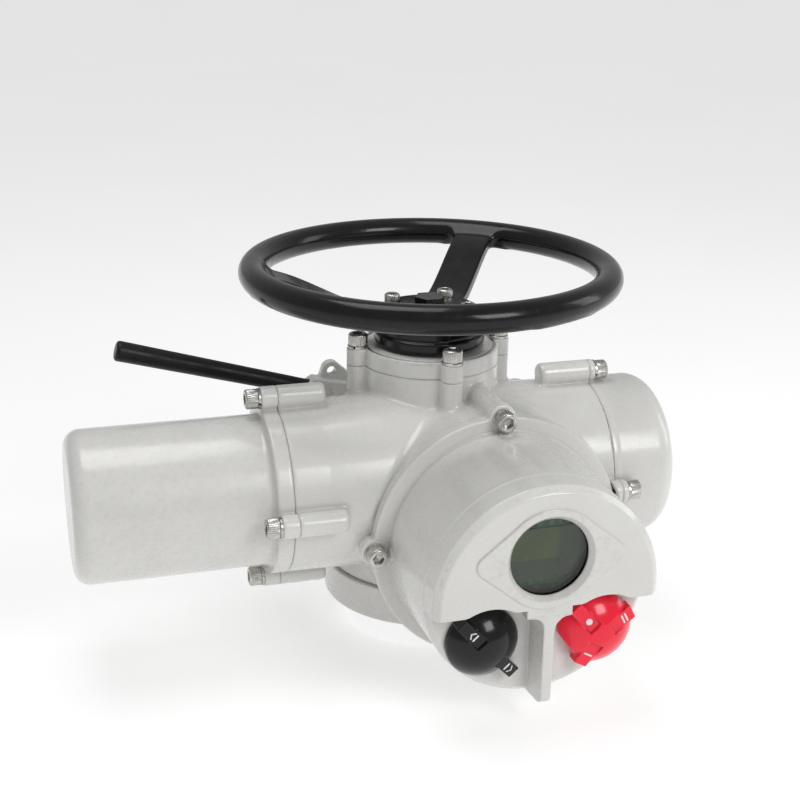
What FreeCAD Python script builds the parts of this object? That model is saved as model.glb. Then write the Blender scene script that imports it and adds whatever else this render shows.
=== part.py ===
import FreeCAD, Part
import math
import os

from FreeCAD import Placement, Rotation, Vector

# Multi-turn electric valve actuator: one solid or solid group per physical piece.
#
# Frame, in millimetres: +Z runs up the output column, the origin is the centre of the base
# mounting face, -X points along the motor, +X along the terminal compartment and -Y out of
# the local controls.

# ---------------------------------------------------------------- driving dimensions
# Base mounting flange, ISO 5210 size F14
flange_r = 87.5
flange_bolt_r = 70.0
flange_bolt_count = 4
flange_thread_r = 8.0
flange_thread_depth = 24.0
spigot_r = 50.0
spigot_h = 3.5
base_h = 30.0

# Output column
column_r = 58.0
column_wall = 6.0
column_lug_circle_r = 61.4
column_top = 206.0
cover_top = 220.3
lug_r = 9.3

# Motor and terminal arms share one horizontal axis in front of the column
arm_y = -31.0
arm_z = 116.0
arm_mid_r = 71.1
arm_wall = 7.0
motor_flange_r = 68.8
motor_lug_circle_r = 77.8
motor_split_x = -137.0
motor_seat_x = -150.2
motor_end_x = -303.6
motor_barrel_r = 61.4
terminal_r = 69.4
terminal_lug_circle_r = 78.6
terminal_split_x = 130.5
terminal_seat_x = 135.7
terminal_end_x = 189.6

# Local control housing, a drum in front of the column
drum_x = 25.5
drum_z = 87.0
neck_r = 100.5
neck_back_y = -30.0
neck_front_y = -101.0
drum_flange_r = 103.2
drum_flange_y = -112.0
drum_lug_circle_r = 102.7
drum_root_r = 91.4
panel_r = 89.0
panel_y = -197.3
hood_y = -219.7
hood_edge_z = 79.0
hood_bevel = 5.5
drum_wall = 5.5

# Display window
window_z = 119.5
window_r = 31.2

# Rotary knobs, on each side of the rib between them
control_x = 26.8
knob_offset_x = 45.6
knob_z = 48.6
black_knob_r = 28.8
red_knob_r = 30.3
knob_h = 20.0
knob_skirt_h = 3.0
knob_gap = 0.8

# Handwheel
rim_centre_r = 145.8
rim_tube_r = 11.45
rim_z = 282.0
spoke_angles = (55.0, 175.0, 295.0)
spoke_width = 33.0
hub_r = 46.0
hub_bottom_z = 222.8
hub_top_z = 250.0
hub_bolt_circle_r = 34.0
hub_bolt_angles = (50.0, 140.0, 230.0, 320.0)

# Hand/auto lever
lever_pivot_x = -26.0
lever_pivot_z = 146.0
lever_y = 71.0
rod_root = Vector(-84.0, lever_y, 162.3)
rod_tip = Vector(-252.0, lever_y, 210.0)
rod_root_r = 7.3
rod_tip_r = 8.8

# Gear train
worm_y = -42.0
worm_module = 2.0
worm_pitch_r = 12.0
wheel_teeth = 30
wheel_pitch_r = worm_module * wheel_teeth / 2.0
tooth_backlash = 0.55
wheel_half_width = 8.0
sleeve_r = 23.0
sleeve_bore_r = 18.0
sleeve_bottom_z = 1.0
sleeve_top_z = 174.0
bush_r = 20.0
bush_bore_r = 15.0
bush_length = 40.0
running_clearance = 0.05

# Clutch
clutch_z = lever_pivot_z
clutch_half_h = 11.0
clutch_r = 32.0
clutch_groove_r = 27.5
clutch_groove_w = 9.4
crank_length = 20.0
dog_h = 8.0
dog_inner_r = 24.0
dog_outer_r = 30.0
dog_count = 4
dog_angle = 36.0

# Fasteners, M10 socket-head cap screws on spring washers
screw_r = 5.0
screw_head_r = 8.0
screw_head_h = 10.0
hex_across_flats = 8.0
hex_depth = 5.0
washer_r = 8.6
washer_t = 2.2
washer_slit = 1.4

# Base screws
base_screw_circle_r = 74.0
base_screw_angles = (22.5, 67.5, 112.5, 157.5, 202.5, 247.5, 292.5, 337.5)
base_screw_sink = 12.0

# Ball bearings
race_share = 0.27
cage_half = 1.0

# Castings
floor_z = base_h
foot_top_z = 84.0
neck_wall = 8.0
neck_room_depth = 37.0
scoop_r = 90.0
scoop_top_z = 56.0
register_r = 62.0
register_h = 4.0
web_half_t = 6.0
left_web_x = -66.0
right_web_x = 66.0
worm_bearing_r = 22.0
output_bearing_r = 40.0
upper_bearing_z = 82.0
output_bearing_w = 14.0
lever_boss_r = 15.0
lever_boss_end_y = 60.0
lever_shaft_r = 7.0
lever_bush_r = 10.0
conduit_x = 98.0
conduit_boss_r = 21.0
conduit_boss_y = 52.0
conduit_thread_r = 12.5
conduit_places = (Vector(conduit_x, 0, arm_z - 26.0), Vector(conduit_x, 0, arm_z + 26.0))
seal_r = 34.0
seal_h = 9.0
lower_bearing_z = 14.0
top_boss_r = 46.0
top_bearing_z = 190.0
top_bearing_w = 14.0
hand_tube_r = 26.0
top_seal_r = 34.0
cover_groove_r = 53.0
cover_groove_w = 2.2
cover_groove_depth = 1.8
motor_wall = 4.0
motor_end_rounding = 13.0

# Control cover and its contents
rib_half_front = 4.1
rib_half_root = 6.3
rib_bottom_z = -2.0
rib_rounding = 7.0
hood_arch_r = 35.5
hood_neck_half_w = 18.0
hood_neck_z = 72.0
left_flare_r = 9.5
right_flare_r = 13.2
lozenge_half_w = 57.5
lozenge_r = 39.5
lozenge_tip_r = 9.0
lozenge_h = 0.9
window_bevel = 3.0
cavity_y = -190.0
hood_wall = 5.0
spindle_r = 4.0
spindle_head_r = 6.0
glass_r = 34.5
glass_t = 5.0
chassis_y = -101.0
chassis_t = 3.0
chassis_r = neck_r - neck_wall
board_y = -140.0

# Knob magnets
magnet_r = 3.0
magnet_circle_r = 18.0

# Compartments
terminal_block_x = 122.0
earth_boss_r = 10.0
earth_seat_y = 48.0
earth_stud_r = 4.0

# Motor
motor_frame_r = 46.0
stator_r = 43.0
rotor_r = 24.5
stator_x0, stator_x1 = -255.0, -170.0
frame_x0 = -283.0
shield_t = 7.0
rear_bearing_r = 16.0
shaft_r = 8.0

# Worm and wheel
worm_half_l = 26.0
journal_r = 9.0
worm_pitch = math.pi * worm_module
worm_tip_r = worm_pitch_r + worm_module
worm_root_r = worm_pitch_r - 1.2 * worm_module
lead_deg = math.degrees(math.atan(worm_pitch / (2 * math.pi * worm_pitch_r)))
flank_tan = math.tan(math.radians(20.0))
# Turns the thread so that a gap, not a crest, faces the wheel's tooth at the centre line.
worm_phase_deg = 360.0 * (0.25 - worm_half_l / worm_pitch - 0.5)

# Output column
circlip_z = arm_z - wheel_half_width - 2.0
hand_web_z = clutch_z + clutch_half_h + dog_h + 11.5

# Handwheel details
spoke_t = 11.0
spoke_flare = 13.0
plug_r = 22.0
hub_screw_r = 4.0
hub_head_r = 6.5

# Lever details
lever_half_t = 8.0
lever_hub_r = 16.0
socket_r = 11.0
ear_tip = Vector(-67.0, lever_y, 178.5)
ear_tip_r = 8.5
ear_hole_r = 4.0
ear_half_t = 4.5
lever_shaft_y0 = 31.8
lever_shaft_y1 = 82.0
fork_y0 = 32.6
fork_y1 = 38.4
fork_hub_r = 8.8
shoe_r = 4.0

# Bearing shoulder and conduit thread
shoulder_bore_r = 36.0
shoulder_top_z = 42.0
conduit_thread_l = 22.0
conduit_relief_r = 15.5

# O-ring grooves
groove_w = 2.4
groove_depth = 1.8
top_groove_r = 48.0
arm_groove_r = 63.4
drum_groove_r = 92.0

# Knob plates and spindles: plates are (angle, inner point, tip), points (radius, height)
spindle_depth = 5.0
spindle_head_h0 = 7.8
spindle_head_t = 3.2
black_plate_half_w = 5.0
black_plates = ((133.0, (7.5, 16.5), (29.0, 12.5)), (-48.0, (14.0, 14.0), (36.4, 9.0)))
red_plate_half_w = 5.6
red_plate_degs = (27.0, 133.0, 241.0)
red_plate_inner = (8.5, 16.5)
red_plate_tip = (30.0, 12.0)
red_flats = ((214.0, 25.8), (40.0, 28.6))

X = Vector(1, 0, 0)
Y = Vector(0, 1, 0)
Z = Vector(0, 0, 1)
arm_centre = Vector(0, arm_y, arm_z)
drum_centre = Vector(drum_x, 0, drum_z)


# ---------------------------------------------------------------- shape helpers
def cylinder(r, start, axis, length):
    return Part.makeCylinder(r, length, start, axis)


def ring(r_out, r_in, start, axis, length):
    return cylinder(r_out, start, axis, length).cut(cylinder(r_in, start, axis, length))


def cone(r_start, r_end, start, axis, length):
    return Part.makeCone(r_start, r_end, length, start, axis)


def box(x0, x1, y0, y1, z0, z1):
    return Part.makeBox(x1 - x0, y1 - y0, z1 - z0, Vector(x0, y0, z0))


def fuse(shapes):
    shapes = list(shapes)
    return shapes[0].multiFuse(shapes[1:]).removeSplitter() if shapes[1:] else shapes[0]


def cut(shape, tools):
    return shape.cut(Part.Compound(list(tools))).removeSplitter()


def revolve(points, base, axis):
    """A solid of revolution: points are (radius, distance along the axis)."""
    side = X if abs(axis.dot(X)) < 0.5 else Z
    wire = Part.makePolygon([base + side * r + axis * a for r, a in points + points[:1]])
    return Part.Face(wire).revolve(base, axis, 360.0)


def prism(points, normal_offset):
    """Extrude a closed outline of 3-D points along a vector."""
    return Part.Face(Part.makePolygon(points + points[:1])).extrude(normal_offset)


def around(count, first_deg=0.0):
    return [first_deg + k * 360.0 / count for k in range(count)]


def polar(r, deg):
    return r * math.cos(math.radians(deg)), r * math.sin(math.radians(deg))


def rounded_cylinder(r, start, axis, length, rounding):
    """A cylinder whose far edge is rounded."""
    body = cylinder(r, start, axis, length)
    far = start + axis * length
    edges = [e for e in body.Edges if e.Length < 6.5 * r and (e.CenterOfMass - far).Length < 0.01]
    return body.makeFillet(rounding, edges)


def turned(shape, base, axis, deg):
    copy = shape.copy()
    copy.rotate(base, axis, deg)
    return copy


# ---------------------------------------------------------------- lug places
def column_lugs():
    return [Vector(*polar(column_lug_circle_r, a), 0) for a in around(4)]


def arm_lugs(circle_r):
    places = []
    for a in around(4):
        dy, dz = polar(circle_r, a)
        places.append(Vector(0, arm_y + dy, arm_z + dz))
    return places


def drum_lugs():
    places = []
    for a in around(4):
        dx, dz = polar(drum_lug_circle_r, a)
        places.append(Vector(drum_x + dx, 0, drum_z + dz))
    return places


# ---------------------------------------------------------------- fasteners
def cap_screw(seat, outward, depth):
    """A cap screw whose spring washer rests on the seat; the shank goes in by depth."""
    head_start = seat + outward * washer_t
    head = cylinder(screw_head_r, head_start, outward, screw_head_h)
    top = [e for e in head.Edges if (e.CenterOfMass - head_start - outward * screw_head_h).Length < 0.01]
    head = head.makeChamfer(0.7, top)
    shank = cylinder(screw_r, seat - outward * depth, outward, depth + washer_t)
    side = X if abs(outward.dot(X)) < 0.5 else Y
    corner_r = hex_across_flats / math.sqrt(3.0)
    floor = head_start + outward * (screw_head_h - hex_depth)
    corners = [Rotation(outward, a).multVec(side * corner_r) + floor for a in around(6)]
    socket = prism(corners, outward * (hex_depth + 1.0))
    return head.fuse(shank).cut(socket).removeSplitter()


def spring_washer(seat, outward):
    """A split washer: its slit runs from the hole to the edge."""
    washer = ring(washer_r, screw_r, seat, outward, washer_t)
    slit = Part.makeBox(washer_slit, 2 * washer_r, washer_t * 3)
    slit.translate(Vector(-washer_slit / 2, 0, -washer_t))
    slit.Placement = Placement(seat, Rotation(Z, outward)).multiply(slit.Placement)
    return washer.cut(slit)


def cover_fixings():
    """Every cover's screws as (name, outward direction, [(seat, depth), ...]).

    Seats run anticlockwise from the first transverse axis. The terminal cover's front screw and
    the control cover's right-hand screw are short, because the other compartment lies behind.
    """
    terminal_depths = (34.0, 34.0, 10.0, 34.0)
    control_depths = (13.0, 30.0, 30.0, 21.0)
    return [
        ("top_cover_screws", Z, [(p + Z * cover_top, 34.0) for p in column_lugs()]),
        ("motor_cover_screws", -X, [(p + X * motor_seat_x, 36.0) for p in arm_lugs(motor_lug_circle_r)]),
        (
            "terminal_cover_screws",
            X,
            [(p + X * terminal_seat_x, d) for p, d in zip(arm_lugs(terminal_lug_circle_r), terminal_depths)],
        ),
        (
            "control_cover_screws",
            -Y,
            [(p + Y * drum_flange_y, d) for p, d in zip(drum_lugs(), control_depths)],
        ),
    ]


def screw_bores(name):
    """Holes for one cover's screws, as long as the screws."""
    for fixing, outward, seats in cover_fixings():
        if fixing == name:
            return [cylinder(screw_r, s - outward * depth, outward, depth + 1.0) for s, depth in seats]
    return []


def base_screw_places():
    return [Vector(*polar(base_screw_circle_r, a), base_screw_sink) for a in base_screw_angles]


# ---------------------------------------------------------------- bearings


def ball(ball_r, centre, pole, seam):
    """A sphere with its poles and its seam turned to the given directions."""
    sphere = Part.makeSphere(ball_r)
    sphere.Placement = Placement(centre, Rotation(seam, pole.cross(seam), pole, "ZXY"))
    return sphere


def ball_bearing(r_in, r_out, start, axis, width, balls):
    """A deep-groove ball bearing: two races and a caged ring of balls."""
    wall = (r_out - r_in) * race_share
    outer = ring(r_out, r_out - wall, start, axis, width)
    inner = ring(r_in + wall, r_in + running_clearance, start, axis, width)
    mid_r = (r_out + r_in) / 2.0
    ball_r = (r_out - r_in) / 2.0 - wall - running_clearance
    middle = start + axis * (width / 2.0)
    side = X if abs(axis.dot(X)) < 0.5 else Y
    cage = ring(mid_r + cage_half, mid_r - cage_half, middle - axis * cage_half, axis, 2 * cage_half)
    spokes = [Rotation(axis, a).multVec(side) for a in around(balls)]
    rolling = [ball(ball_r, middle + spoke * mid_r, spoke, axis) for spoke in spokes]
    return [outer, inner, fuse([cage] + rolling)]


# ---------------------------------------------------------------- fixed castings


def arm_outer():
    return revolve(
        [
            (0, motor_split_x),
            (motor_flange_r, motor_split_x),
            (motor_flange_r + 0.4, motor_split_x + 30.0),
            (arm_mid_r, -58.0),
            (arm_mid_r, 58.0),
            (terminal_r + 0.8, terminal_split_x - 30.0),
            (terminal_r + 0.3, terminal_split_x),
            (0, terminal_split_x),
        ],
        arm_centre,
        X,
    )


def lug(start, axis, length):
    return rounded_cylinder(lug_r, start, axis, length, 6.0)


def neck_scoop(r):
    """The room that the neck leaves for the base flange and for the valve below it."""
    return cylinder(r, Vector(0, 0, -80.0), Z, scoop_top_z + 80.0 + (r - scoop_r))


def make_neck():
    """The drum-shaped mouth of the control compartment, with its screw lugs."""
    length = neck_back_y - neck_front_y
    shapes = [rounded_cylinder(neck_r, drum_centre + Y * neck_front_y, Y, length, 14.0)]
    for place in drum_lugs():
        shapes.append(lug(place + Y * neck_front_y, Y, length - 4.0))
    return fuse(shapes).cut(neck_scoop(scoop_r))


def gearcase_outer():
    foot = revolve(
        [
            (0, floor_z),
            (flange_r - 3.0, floor_z),
            (flange_r - 6.0, floor_z + 34.0),
            (column_r, foot_top_z),
            (0, foot_top_z),
        ],
        Vector(0, 0, 0),
        Z,
    )
    column = cylinder(column_r, Vector(0, 0, 60.0), Z, column_top - 60.0)
    shapes = [foot, column, arm_outer(), make_neck()]
    for place in column_lugs():
        shapes.append(cylinder(lug_r, place + Z * 90.0, Z, column_top - 90.0))
    for place in arm_lugs(motor_lug_circle_r):
        shapes.append(lug(place + X * motor_split_x, X, 40.0))
    for place in arm_lugs(terminal_lug_circle_r):
        shapes.append(lug(place + X * terminal_split_x, -X, 45.0))
    shapes.append(cylinder(earth_boss_r, earth_place(), Y, earth_seat_y))
    shapes.append(
        cylinder(lever_boss_r, Vector(lever_pivot_x, 35.0, lever_pivot_z), Y, lever_boss_end_y - 35.0)
    )
    for place in conduit_places:
        shapes.append(cylinder(conduit_boss_r, place, Y, conduit_boss_y))
    in_front_of_neck = drum_cylinder(drum_flange_r + 1.0, neck_front_y, neck_front_y - 30.0)
    terminal_room = cylinder(terminal_r + 1.0, arm_centre + X * terminal_split_x, X, 60.0)
    return cut(fuse(shapes), [in_front_of_neck, terminal_room])


def gearcase_inner():
    inner_r = column_r - column_wall
    arm_inner_r = motor_flange_r - arm_wall
    length = terminal_split_x - motor_split_x
    neck_room = cylinder(neck_r - neck_wall, drum_centre + Y * neck_front_y, Y, neck_room_depth)
    return fuse(
        [
            cylinder(register_r, Vector(0, 0, floor_z), Z, register_h),
            cylinder(inner_r, Vector(0, 0, floor_z), Z, column_top - floor_z),
            cylinder(arm_inner_r, arm_centre + X * motor_split_x, X, length),
            neck_room.cut(neck_scoop(scoop_r + neck_wall)),
        ]
    )


def lower_bearing_shoulder():
    """A floor over the base's register, with a nose that reaches down to the lower bearing."""
    register_top = floor_z + register_h
    nose_z = lower_bearing_z + output_bearing_w
    return [
        cylinder(column_r - 1.0, Vector(0, 0, register_top), Z, shoulder_top_z - register_top),
        cylinder(output_bearing_r, Vector(0, 0, nose_z), Z, register_top - nose_z),
    ]


def make_gearcase():
    outer = gearcase_outer()
    shell = outer.cut(gearcase_inner())
    webs = []
    for x in (left_web_x, right_web_x):
        disc = cylinder(motor_flange_r - 2.0, Vector(x - web_half_t, arm_y, arm_z), X, 2 * web_half_t)
        webs.append(disc)
    webs.append(cylinder(column_r - 1.0, Vector(0, 0, upper_bearing_z), Z, output_bearing_w))
    webs += lower_bearing_shoulder()
    body = fuse([shell] + webs)
    nose_z = lower_bearing_z + output_bearing_w
    tools = [
        cylinder(output_bearing_r, Vector(0, 0, upper_bearing_z), Z, output_bearing_w),
        cylinder(shoulder_bore_r, Vector(0, 0, nose_z), Z, shoulder_top_z - nose_z),
        cylinder(lever_bush_r, Vector(lever_pivot_x, 30.0, lever_pivot_z), Y, 40.0),
    ]
    for x in (left_web_x, right_web_x):
        tools.append(cylinder(worm_bearing_r, Vector(x - web_half_t, worm_y, arm_z), X, 2 * web_half_t))
    for place in conduit_places:
        tools.append(cylinder(conduit_thread_r, place, Y, conduit_boss_y + 1.0))
        tools.append(cylinder(conduit_relief_r, place, Y, conduit_boss_y - conduit_thread_l))
    for place in base_screw_places():
        tools.append(cylinder(screw_r, place, Z, 36.0))
    for name in ("top_cover_screws", "motor_cover_screws", "terminal_cover_screws", "control_cover_screws"):
        tools.extend(screw_bores(name))
    tools.append(earth_stud_bore())
    return cut(body, tools)


def make_thrust_base():
    body = fuse(
        [
            cylinder(flange_r, Vector(0, 0, 0), Z, base_h),
            cylinder(register_r, Vector(0, 0, base_h), Z, register_h),
            cylinder(spigot_r, Vector(0, 0, -spigot_h), Z, spigot_h),
        ]
    )
    rim = [e for e in body.Edges if abs(e.Length - 2 * math.pi * flange_r) < 0.1]
    body = body.makeChamfer(1.2, rim)
    tools = [
        cylinder(sleeve_r + 3.0, Vector(0, 0, -spigot_h), Z, base_h + 20.0),
        cylinder(seal_r, Vector(0, 0, -spigot_h), Z, seal_h),
        cylinder(output_bearing_r, Vector(0, 0, lower_bearing_z), Z, base_h),
    ]
    for angle in around(flange_bolt_count, 45.0):
        x, y = polar(flange_bolt_r, angle)
        tools.append(cylinder(flange_thread_r, Vector(x, y, 0), Z, flange_thread_depth))
    for place in base_screw_places():
        tools.append(cylinder(screw_r, place, Z, base_h))
        tools.append(cylinder(screw_head_r + 0.8, place - Z * base_screw_sink, Z, base_screw_sink))
    return cut(body, tools)


def make_base_seal():
    return [ring(seal_r, sleeve_r + running_clearance, Vector(0, 0, -spigot_h), Z, seal_h)]


def make_base_screws():
    return [base_cap_screw(place) for place in base_screw_places()]


def base_cap_screw(place):
    head = cylinder(screw_head_r, place - Z * screw_head_h, Z, screw_head_h)
    shank = cylinder(screw_r, place, Z, 34.0)
    corner_r = hex_across_flats / math.sqrt(3.0)
    start = place - Z * screw_head_h
    corners = [start + Vector(*polar(corner_r, a), 0) for a in around(6)]
    return head.fuse(shank).cut(prism(corners, Z * hex_depth)).removeSplitter()


def make_top_cover():
    plate_h = cover_top - column_top
    shapes = [cylinder(column_r, Vector(0, 0, column_top), Z, plate_h)]
    for place in column_lugs():
        shapes.append(cylinder(lug_r, place + Z * column_top, Z, plate_h))
    shapes.append(cylinder(top_boss_r, Vector(0, 0, top_bearing_z - 2.0), Z, plate_h + 10.0))
    body = fuse(shapes)
    groove = ring(
        cover_groove_r + cover_groove_w,
        cover_groove_r,
        Vector(0, 0, cover_top - cover_groove_depth),
        Z,
        cover_groove_depth,
    )
    tools = [
        groove,
        cylinder(output_bearing_r, Vector(0, 0, top_bearing_z - 2.0), Z, top_bearing_w + 2.0),
        cylinder(hand_tube_r + 1.0, Vector(0, 0, top_bearing_z), Z, 60.0),
        cylinder(top_seal_r, Vector(0, 0, cover_top - seal_h), Z, seal_h),
        top_o_ring(),
    ]
    return cut(body, tools + screw_bores("top_cover_screws"))


def top_o_ring():
    return ring(top_groove_r + groove_w, top_groove_r, Vector(0, 0, column_top), Z, groove_depth)


def make_top_seal():
    return [ring(top_seal_r, hand_tube_r + running_clearance, Vector(0, 0, cover_top - seal_h), Z, seal_h)]


def cover_flange(r_flange, lugs, start_x, end_x):
    """The round flange of an arm cover, with its screw lugs."""
    axis = X if end_x > start_x else -X
    length = abs(end_x - start_x)
    shapes = [cylinder(r_flange, arm_centre + X * start_x, axis, length)]
    for place in lugs:
        shapes.append(cylinder(lug_r, place + X * start_x, axis, length))
    return fuse(shapes)


def make_motor_cover():
    flange = cover_flange(motor_flange_r, arm_lugs(motor_lug_circle_r), motor_split_x, motor_seat_x)
    barrel = rounded_cylinder(
        motor_barrel_r, arm_centre + X * motor_split_x, -X, motor_split_x - motor_end_x, motor_end_rounding
    )
    flare = cone(motor_barrel_r + 3.0, motor_barrel_r, arm_centre + X * motor_seat_x, -X, 7.0)
    inside = rounded_cylinder(
        motor_barrel_r - motor_wall,
        arm_centre + X * motor_split_x,
        -X,
        motor_split_x - motor_end_x - motor_wall,
        motor_end_rounding - motor_wall,
    )
    tools = [inside, arm_o_ring(motor_split_x, -X)] + screw_bores("motor_cover_screws")
    return cut(fuse([flange, barrel, flare]), tools)


def arm_o_ring(x, outward):
    return ring(arm_groove_r + groove_w, arm_groove_r, arm_centre + X * x, outward, groove_depth)


def drum_o_ring():
    start = drum_centre + Y * neck_front_y
    return ring(drum_groove_r + groove_w, drum_groove_r, start, -Y, groove_depth)


def make_terminal_cover():
    lugs = arm_lugs(terminal_lug_circle_r)
    flange = cover_flange(terminal_r + 0.3, lugs, terminal_split_x, terminal_seat_x)
    dome = rounded_cylinder(
        terminal_r, arm_centre + X * terminal_split_x, X, terminal_end_x - terminal_split_x, 17.0
    )
    inside = rounded_cylinder(
        motor_flange_r - arm_wall,
        arm_centre + X * terminal_split_x,
        X,
        terminal_end_x - terminal_split_x - 5.0,
        13.0,
    )
    tools = [inside, arm_o_ring(terminal_split_x, X)] + screw_bores("terminal_cover_screws")
    return cut(fuse([flange, dome]), tools)


# ---------------------------------------------------------------- control cover


def knob_centres():
    return [Vector(control_x + side * knob_offset_x, panel_y, knob_z) for side in (-1, 1)]


def drum_cylinder(r, y_from, y_to):
    return cylinder(r, drum_centre + Y * y_from, Y if y_to > y_from else -Y, abs(y_to - y_from))


def hood_outline(inset):
    """The hood's front shape as a thick slab, pulled in from its edges by inset."""
    far = 200.0
    depth = far
    disc = drum_cylinder(panel_r - inset, 0.0, -depth - 40.0)
    upper = box(-far, far, -depth - 40.0, 0.0, hood_edge_z + inset, far + 40.0)
    neck = box(
        control_x - hood_neck_half_w + inset,
        control_x + hood_neck_half_w - inset,
        -depth - 40.0,
        0.0,
        hood_neck_z + inset,
        far,
    )
    slab = disc.common(upper.fuse(neck))
    arches = [
        cylinder(hood_arch_r + inset, Vector(c.x, 0, c.z), -Y, depth + 40.0) for c in knob_centres()
    ]
    return slab.cut(Part.Compound(arches))


def make_hood():
    """The visor over the knobs, its outer rim bevelled to the front."""
    slab = hood_outline(0.0).common(box(-200, 260, hood_y, panel_y + 1.0, -60, 260))
    length = abs(hood_y - panel_y) + 1.0
    start = drum_centre + Y * (panel_y + 1.0)
    straight = cylinder(panel_r, start, -Y, length - hood_bevel)
    bevel = cone(panel_r, panel_r - hood_bevel, start - Y * (length - hood_bevel), -Y, hood_bevel)
    return slab.common(straight.fuse(bevel))


def rib_side():
    """The rib seen from the side, rounded at its lower front corner."""
    top = hood_neck_z + 4.0
    back = panel_y + 1.0
    lean = rib_rounding * (1 - math.cos(math.pi / 4))
    arc_start = Vector(0, hood_y, rib_bottom_z + rib_rounding)
    arc_mid = Vector(0, hood_y + lean, rib_bottom_z + lean)
    arc_end = Vector(0, hood_y + rib_rounding, rib_bottom_z)
    edges = [
        Part.makeLine(Vector(0, back, top), Vector(0, hood_y, top)),
        Part.makeLine(Vector(0, hood_y, top), arc_start),
        Part.Arc(arc_start, arc_mid, arc_end).toShape(),
        Part.makeLine(arc_end, Vector(0, back, rib_bottom_z)),
        Part.makeLine(Vector(0, back, rib_bottom_z), Vector(0, back, top)),
    ]
    return Part.Face(Part.Wire(edges))


def rib_flare(side, flare_r):
    """The rounded corner where one side of the rib runs into the hood."""
    wall_x = control_x + side * rib_half_front
    far_x = wall_x + side * flare_r
    bottom = hood_neck_z - flare_r
    depth = abs(hood_y - panel_y)
    block = box(min(wall_x, far_x), max(wall_x, far_x), hood_y, panel_y, bottom, hood_neck_z + 1.0)
    return block.cut(cylinder(flare_r, Vector(far_x, hood_y - 1.0, bottom), Y, depth + 2.0))


def make_rib():
    """The upright rib between the knobs, narrower at its front, and its flares into the hood."""
    slab = rib_side().extrude(X * (4 * rib_half_root))
    slab.translate(X * (control_x - 2 * rib_half_root))
    top = hood_neck_z + 10.0
    bottom = rib_bottom_z - 10.0
    draft = [
        Vector(control_x - rib_half_root, panel_y, bottom),
        Vector(control_x - rib_half_front, hood_y, bottom),
        Vector(control_x + rib_half_front, hood_y, bottom),
        Vector(control_x + rib_half_root, panel_y, bottom),
        Vector(control_x + rib_half_root, panel_y + 1.0, bottom),
        Vector(control_x - rib_half_root, panel_y + 1.0, bottom),
    ]
    rib = slab.common(prism(draft, Z * (top - bottom)))
    return fuse([rib, rib_flare(-1, left_flare_r), rib_flare(1, right_flare_r)])


def lozenge():
    """A low raised eye shape round the window: a circle drawn out to two rounded tips."""
    y0 = hood_y
    centre = Vector(drum_x, y0, window_z)
    disc = cylinder(lozenge_r, centre, -Y, lozenge_h)
    tip_x = lozenge_half_w - lozenge_tip_r
    lean = math.acos((lozenge_r - lozenge_tip_r) / tip_x)
    c, s = math.cos(lean), math.sin(lean)
    shapes = [disc]
    for side in (-1, 1):
        tip = centre + X * (side * tip_x)
        shapes.append(cylinder(lozenge_tip_r, tip, -Y, lozenge_h))
        corners = [
            centre + Vector(side * lozenge_r * c, 0, lozenge_r * s),
            tip + Vector(side * lozenge_tip_r * c, 0, lozenge_tip_r * s),
            tip + Vector(side * lozenge_tip_r * c, 0, -lozenge_tip_r * s),
            centre + Vector(side * lozenge_r * c, 0, -lozenge_r * s),
        ]
        shapes.append(prism(corners, -Y * lozenge_h))
    return fuse(shapes)


def make_control_cover():
    flange = drum_cylinder(drum_flange_r, neck_front_y, drum_flange_y)
    shapes = [flange]
    for place in drum_lugs():
        shapes.append(cylinder(lug_r + 1.5, place + Y * neck_front_y, -Y, neck_front_y - drum_flange_y))
    drum_length = abs(panel_y - drum_flange_y)
    panel_bevel = 4.0
    shapes.append(
        cone(drum_root_r, panel_r, drum_centre + Y * drum_flange_y, -Y, drum_length - panel_bevel)
    )
    shapes.append(
        cone(panel_r, panel_r - panel_bevel, drum_centre + Y * (panel_y + panel_bevel), -Y, panel_bevel)
    )
    hood_back = make_hood().fuse(
        hood_outline(0.0).common(box(-200, 260, panel_y, panel_y + panel_bevel, -60, 260))
    )
    shapes += [hood_back, make_rib(), lozenge()]
    body = fuse(shapes)
    cavity = drum_cylinder(panel_r - drum_wall, neck_front_y, cavity_y)
    hood_room = hood_outline(hood_wall).common(box(-200, 260, hood_y + hood_wall, cavity_y, -60, 260))
    window_front = Vector(drum_x, hood_y - lozenge_h, window_z)
    window_depth = hood_wall + lozenge_h
    tools = [
        cavity,
        hood_room,
        cone(window_r + window_bevel, window_r - 0.5, window_front, Y, window_depth - 1.5),
        cylinder(window_r - 0.5, window_front, Y, window_depth + 1.0),
        drum_o_ring(),
    ]
    for centre in knob_centres():
        tools.append(cylinder(spindle_r, centre + Y * spindle_depth, -Y, spindle_depth + 1.0))
    return cut(body, tools + screw_bores("control_cover_screws"))


def window_place(offset):
    return Vector(drum_x, hood_y + hood_wall + offset, window_z)


def make_window_glass():
    return [cylinder(glass_r, window_place(0.0), Y, glass_t)]


def make_window_clamp():
    return [ring(glass_r + 1.5, window_r - 1.0, window_place(glass_t), Y, 3.0)]


def make_display_panel():
    y = hood_y + hood_wall + glass_t + 3.0
    return [box(drum_x - 29.0, drum_x + 29.0, y, y + 3.0, window_z - 20.0, window_z + 20.0)]


def make_display_board():
    y = hood_y + hood_wall + glass_t + 6.0
    board = box(drum_x - 36.0, drum_x + 36.0, y, y + 1.6, window_z - 26.0, window_z + 26.0)
    chips = [
        box(drum_x + dx - 6.0, drum_x + dx + 6.0, y + 1.6, y + 3.6, window_z - 6.0, window_z + 6.0)
        for dx in (-22.0, 0.0, 22.0)
    ]
    return [fuse([board] + chips)]


def standoff_places():
    return [Vector(drum_x + dx, 0, drum_z + dz) for dx in (-48.0, 48.0) for dz in (-34.0, 34.0)]


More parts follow.
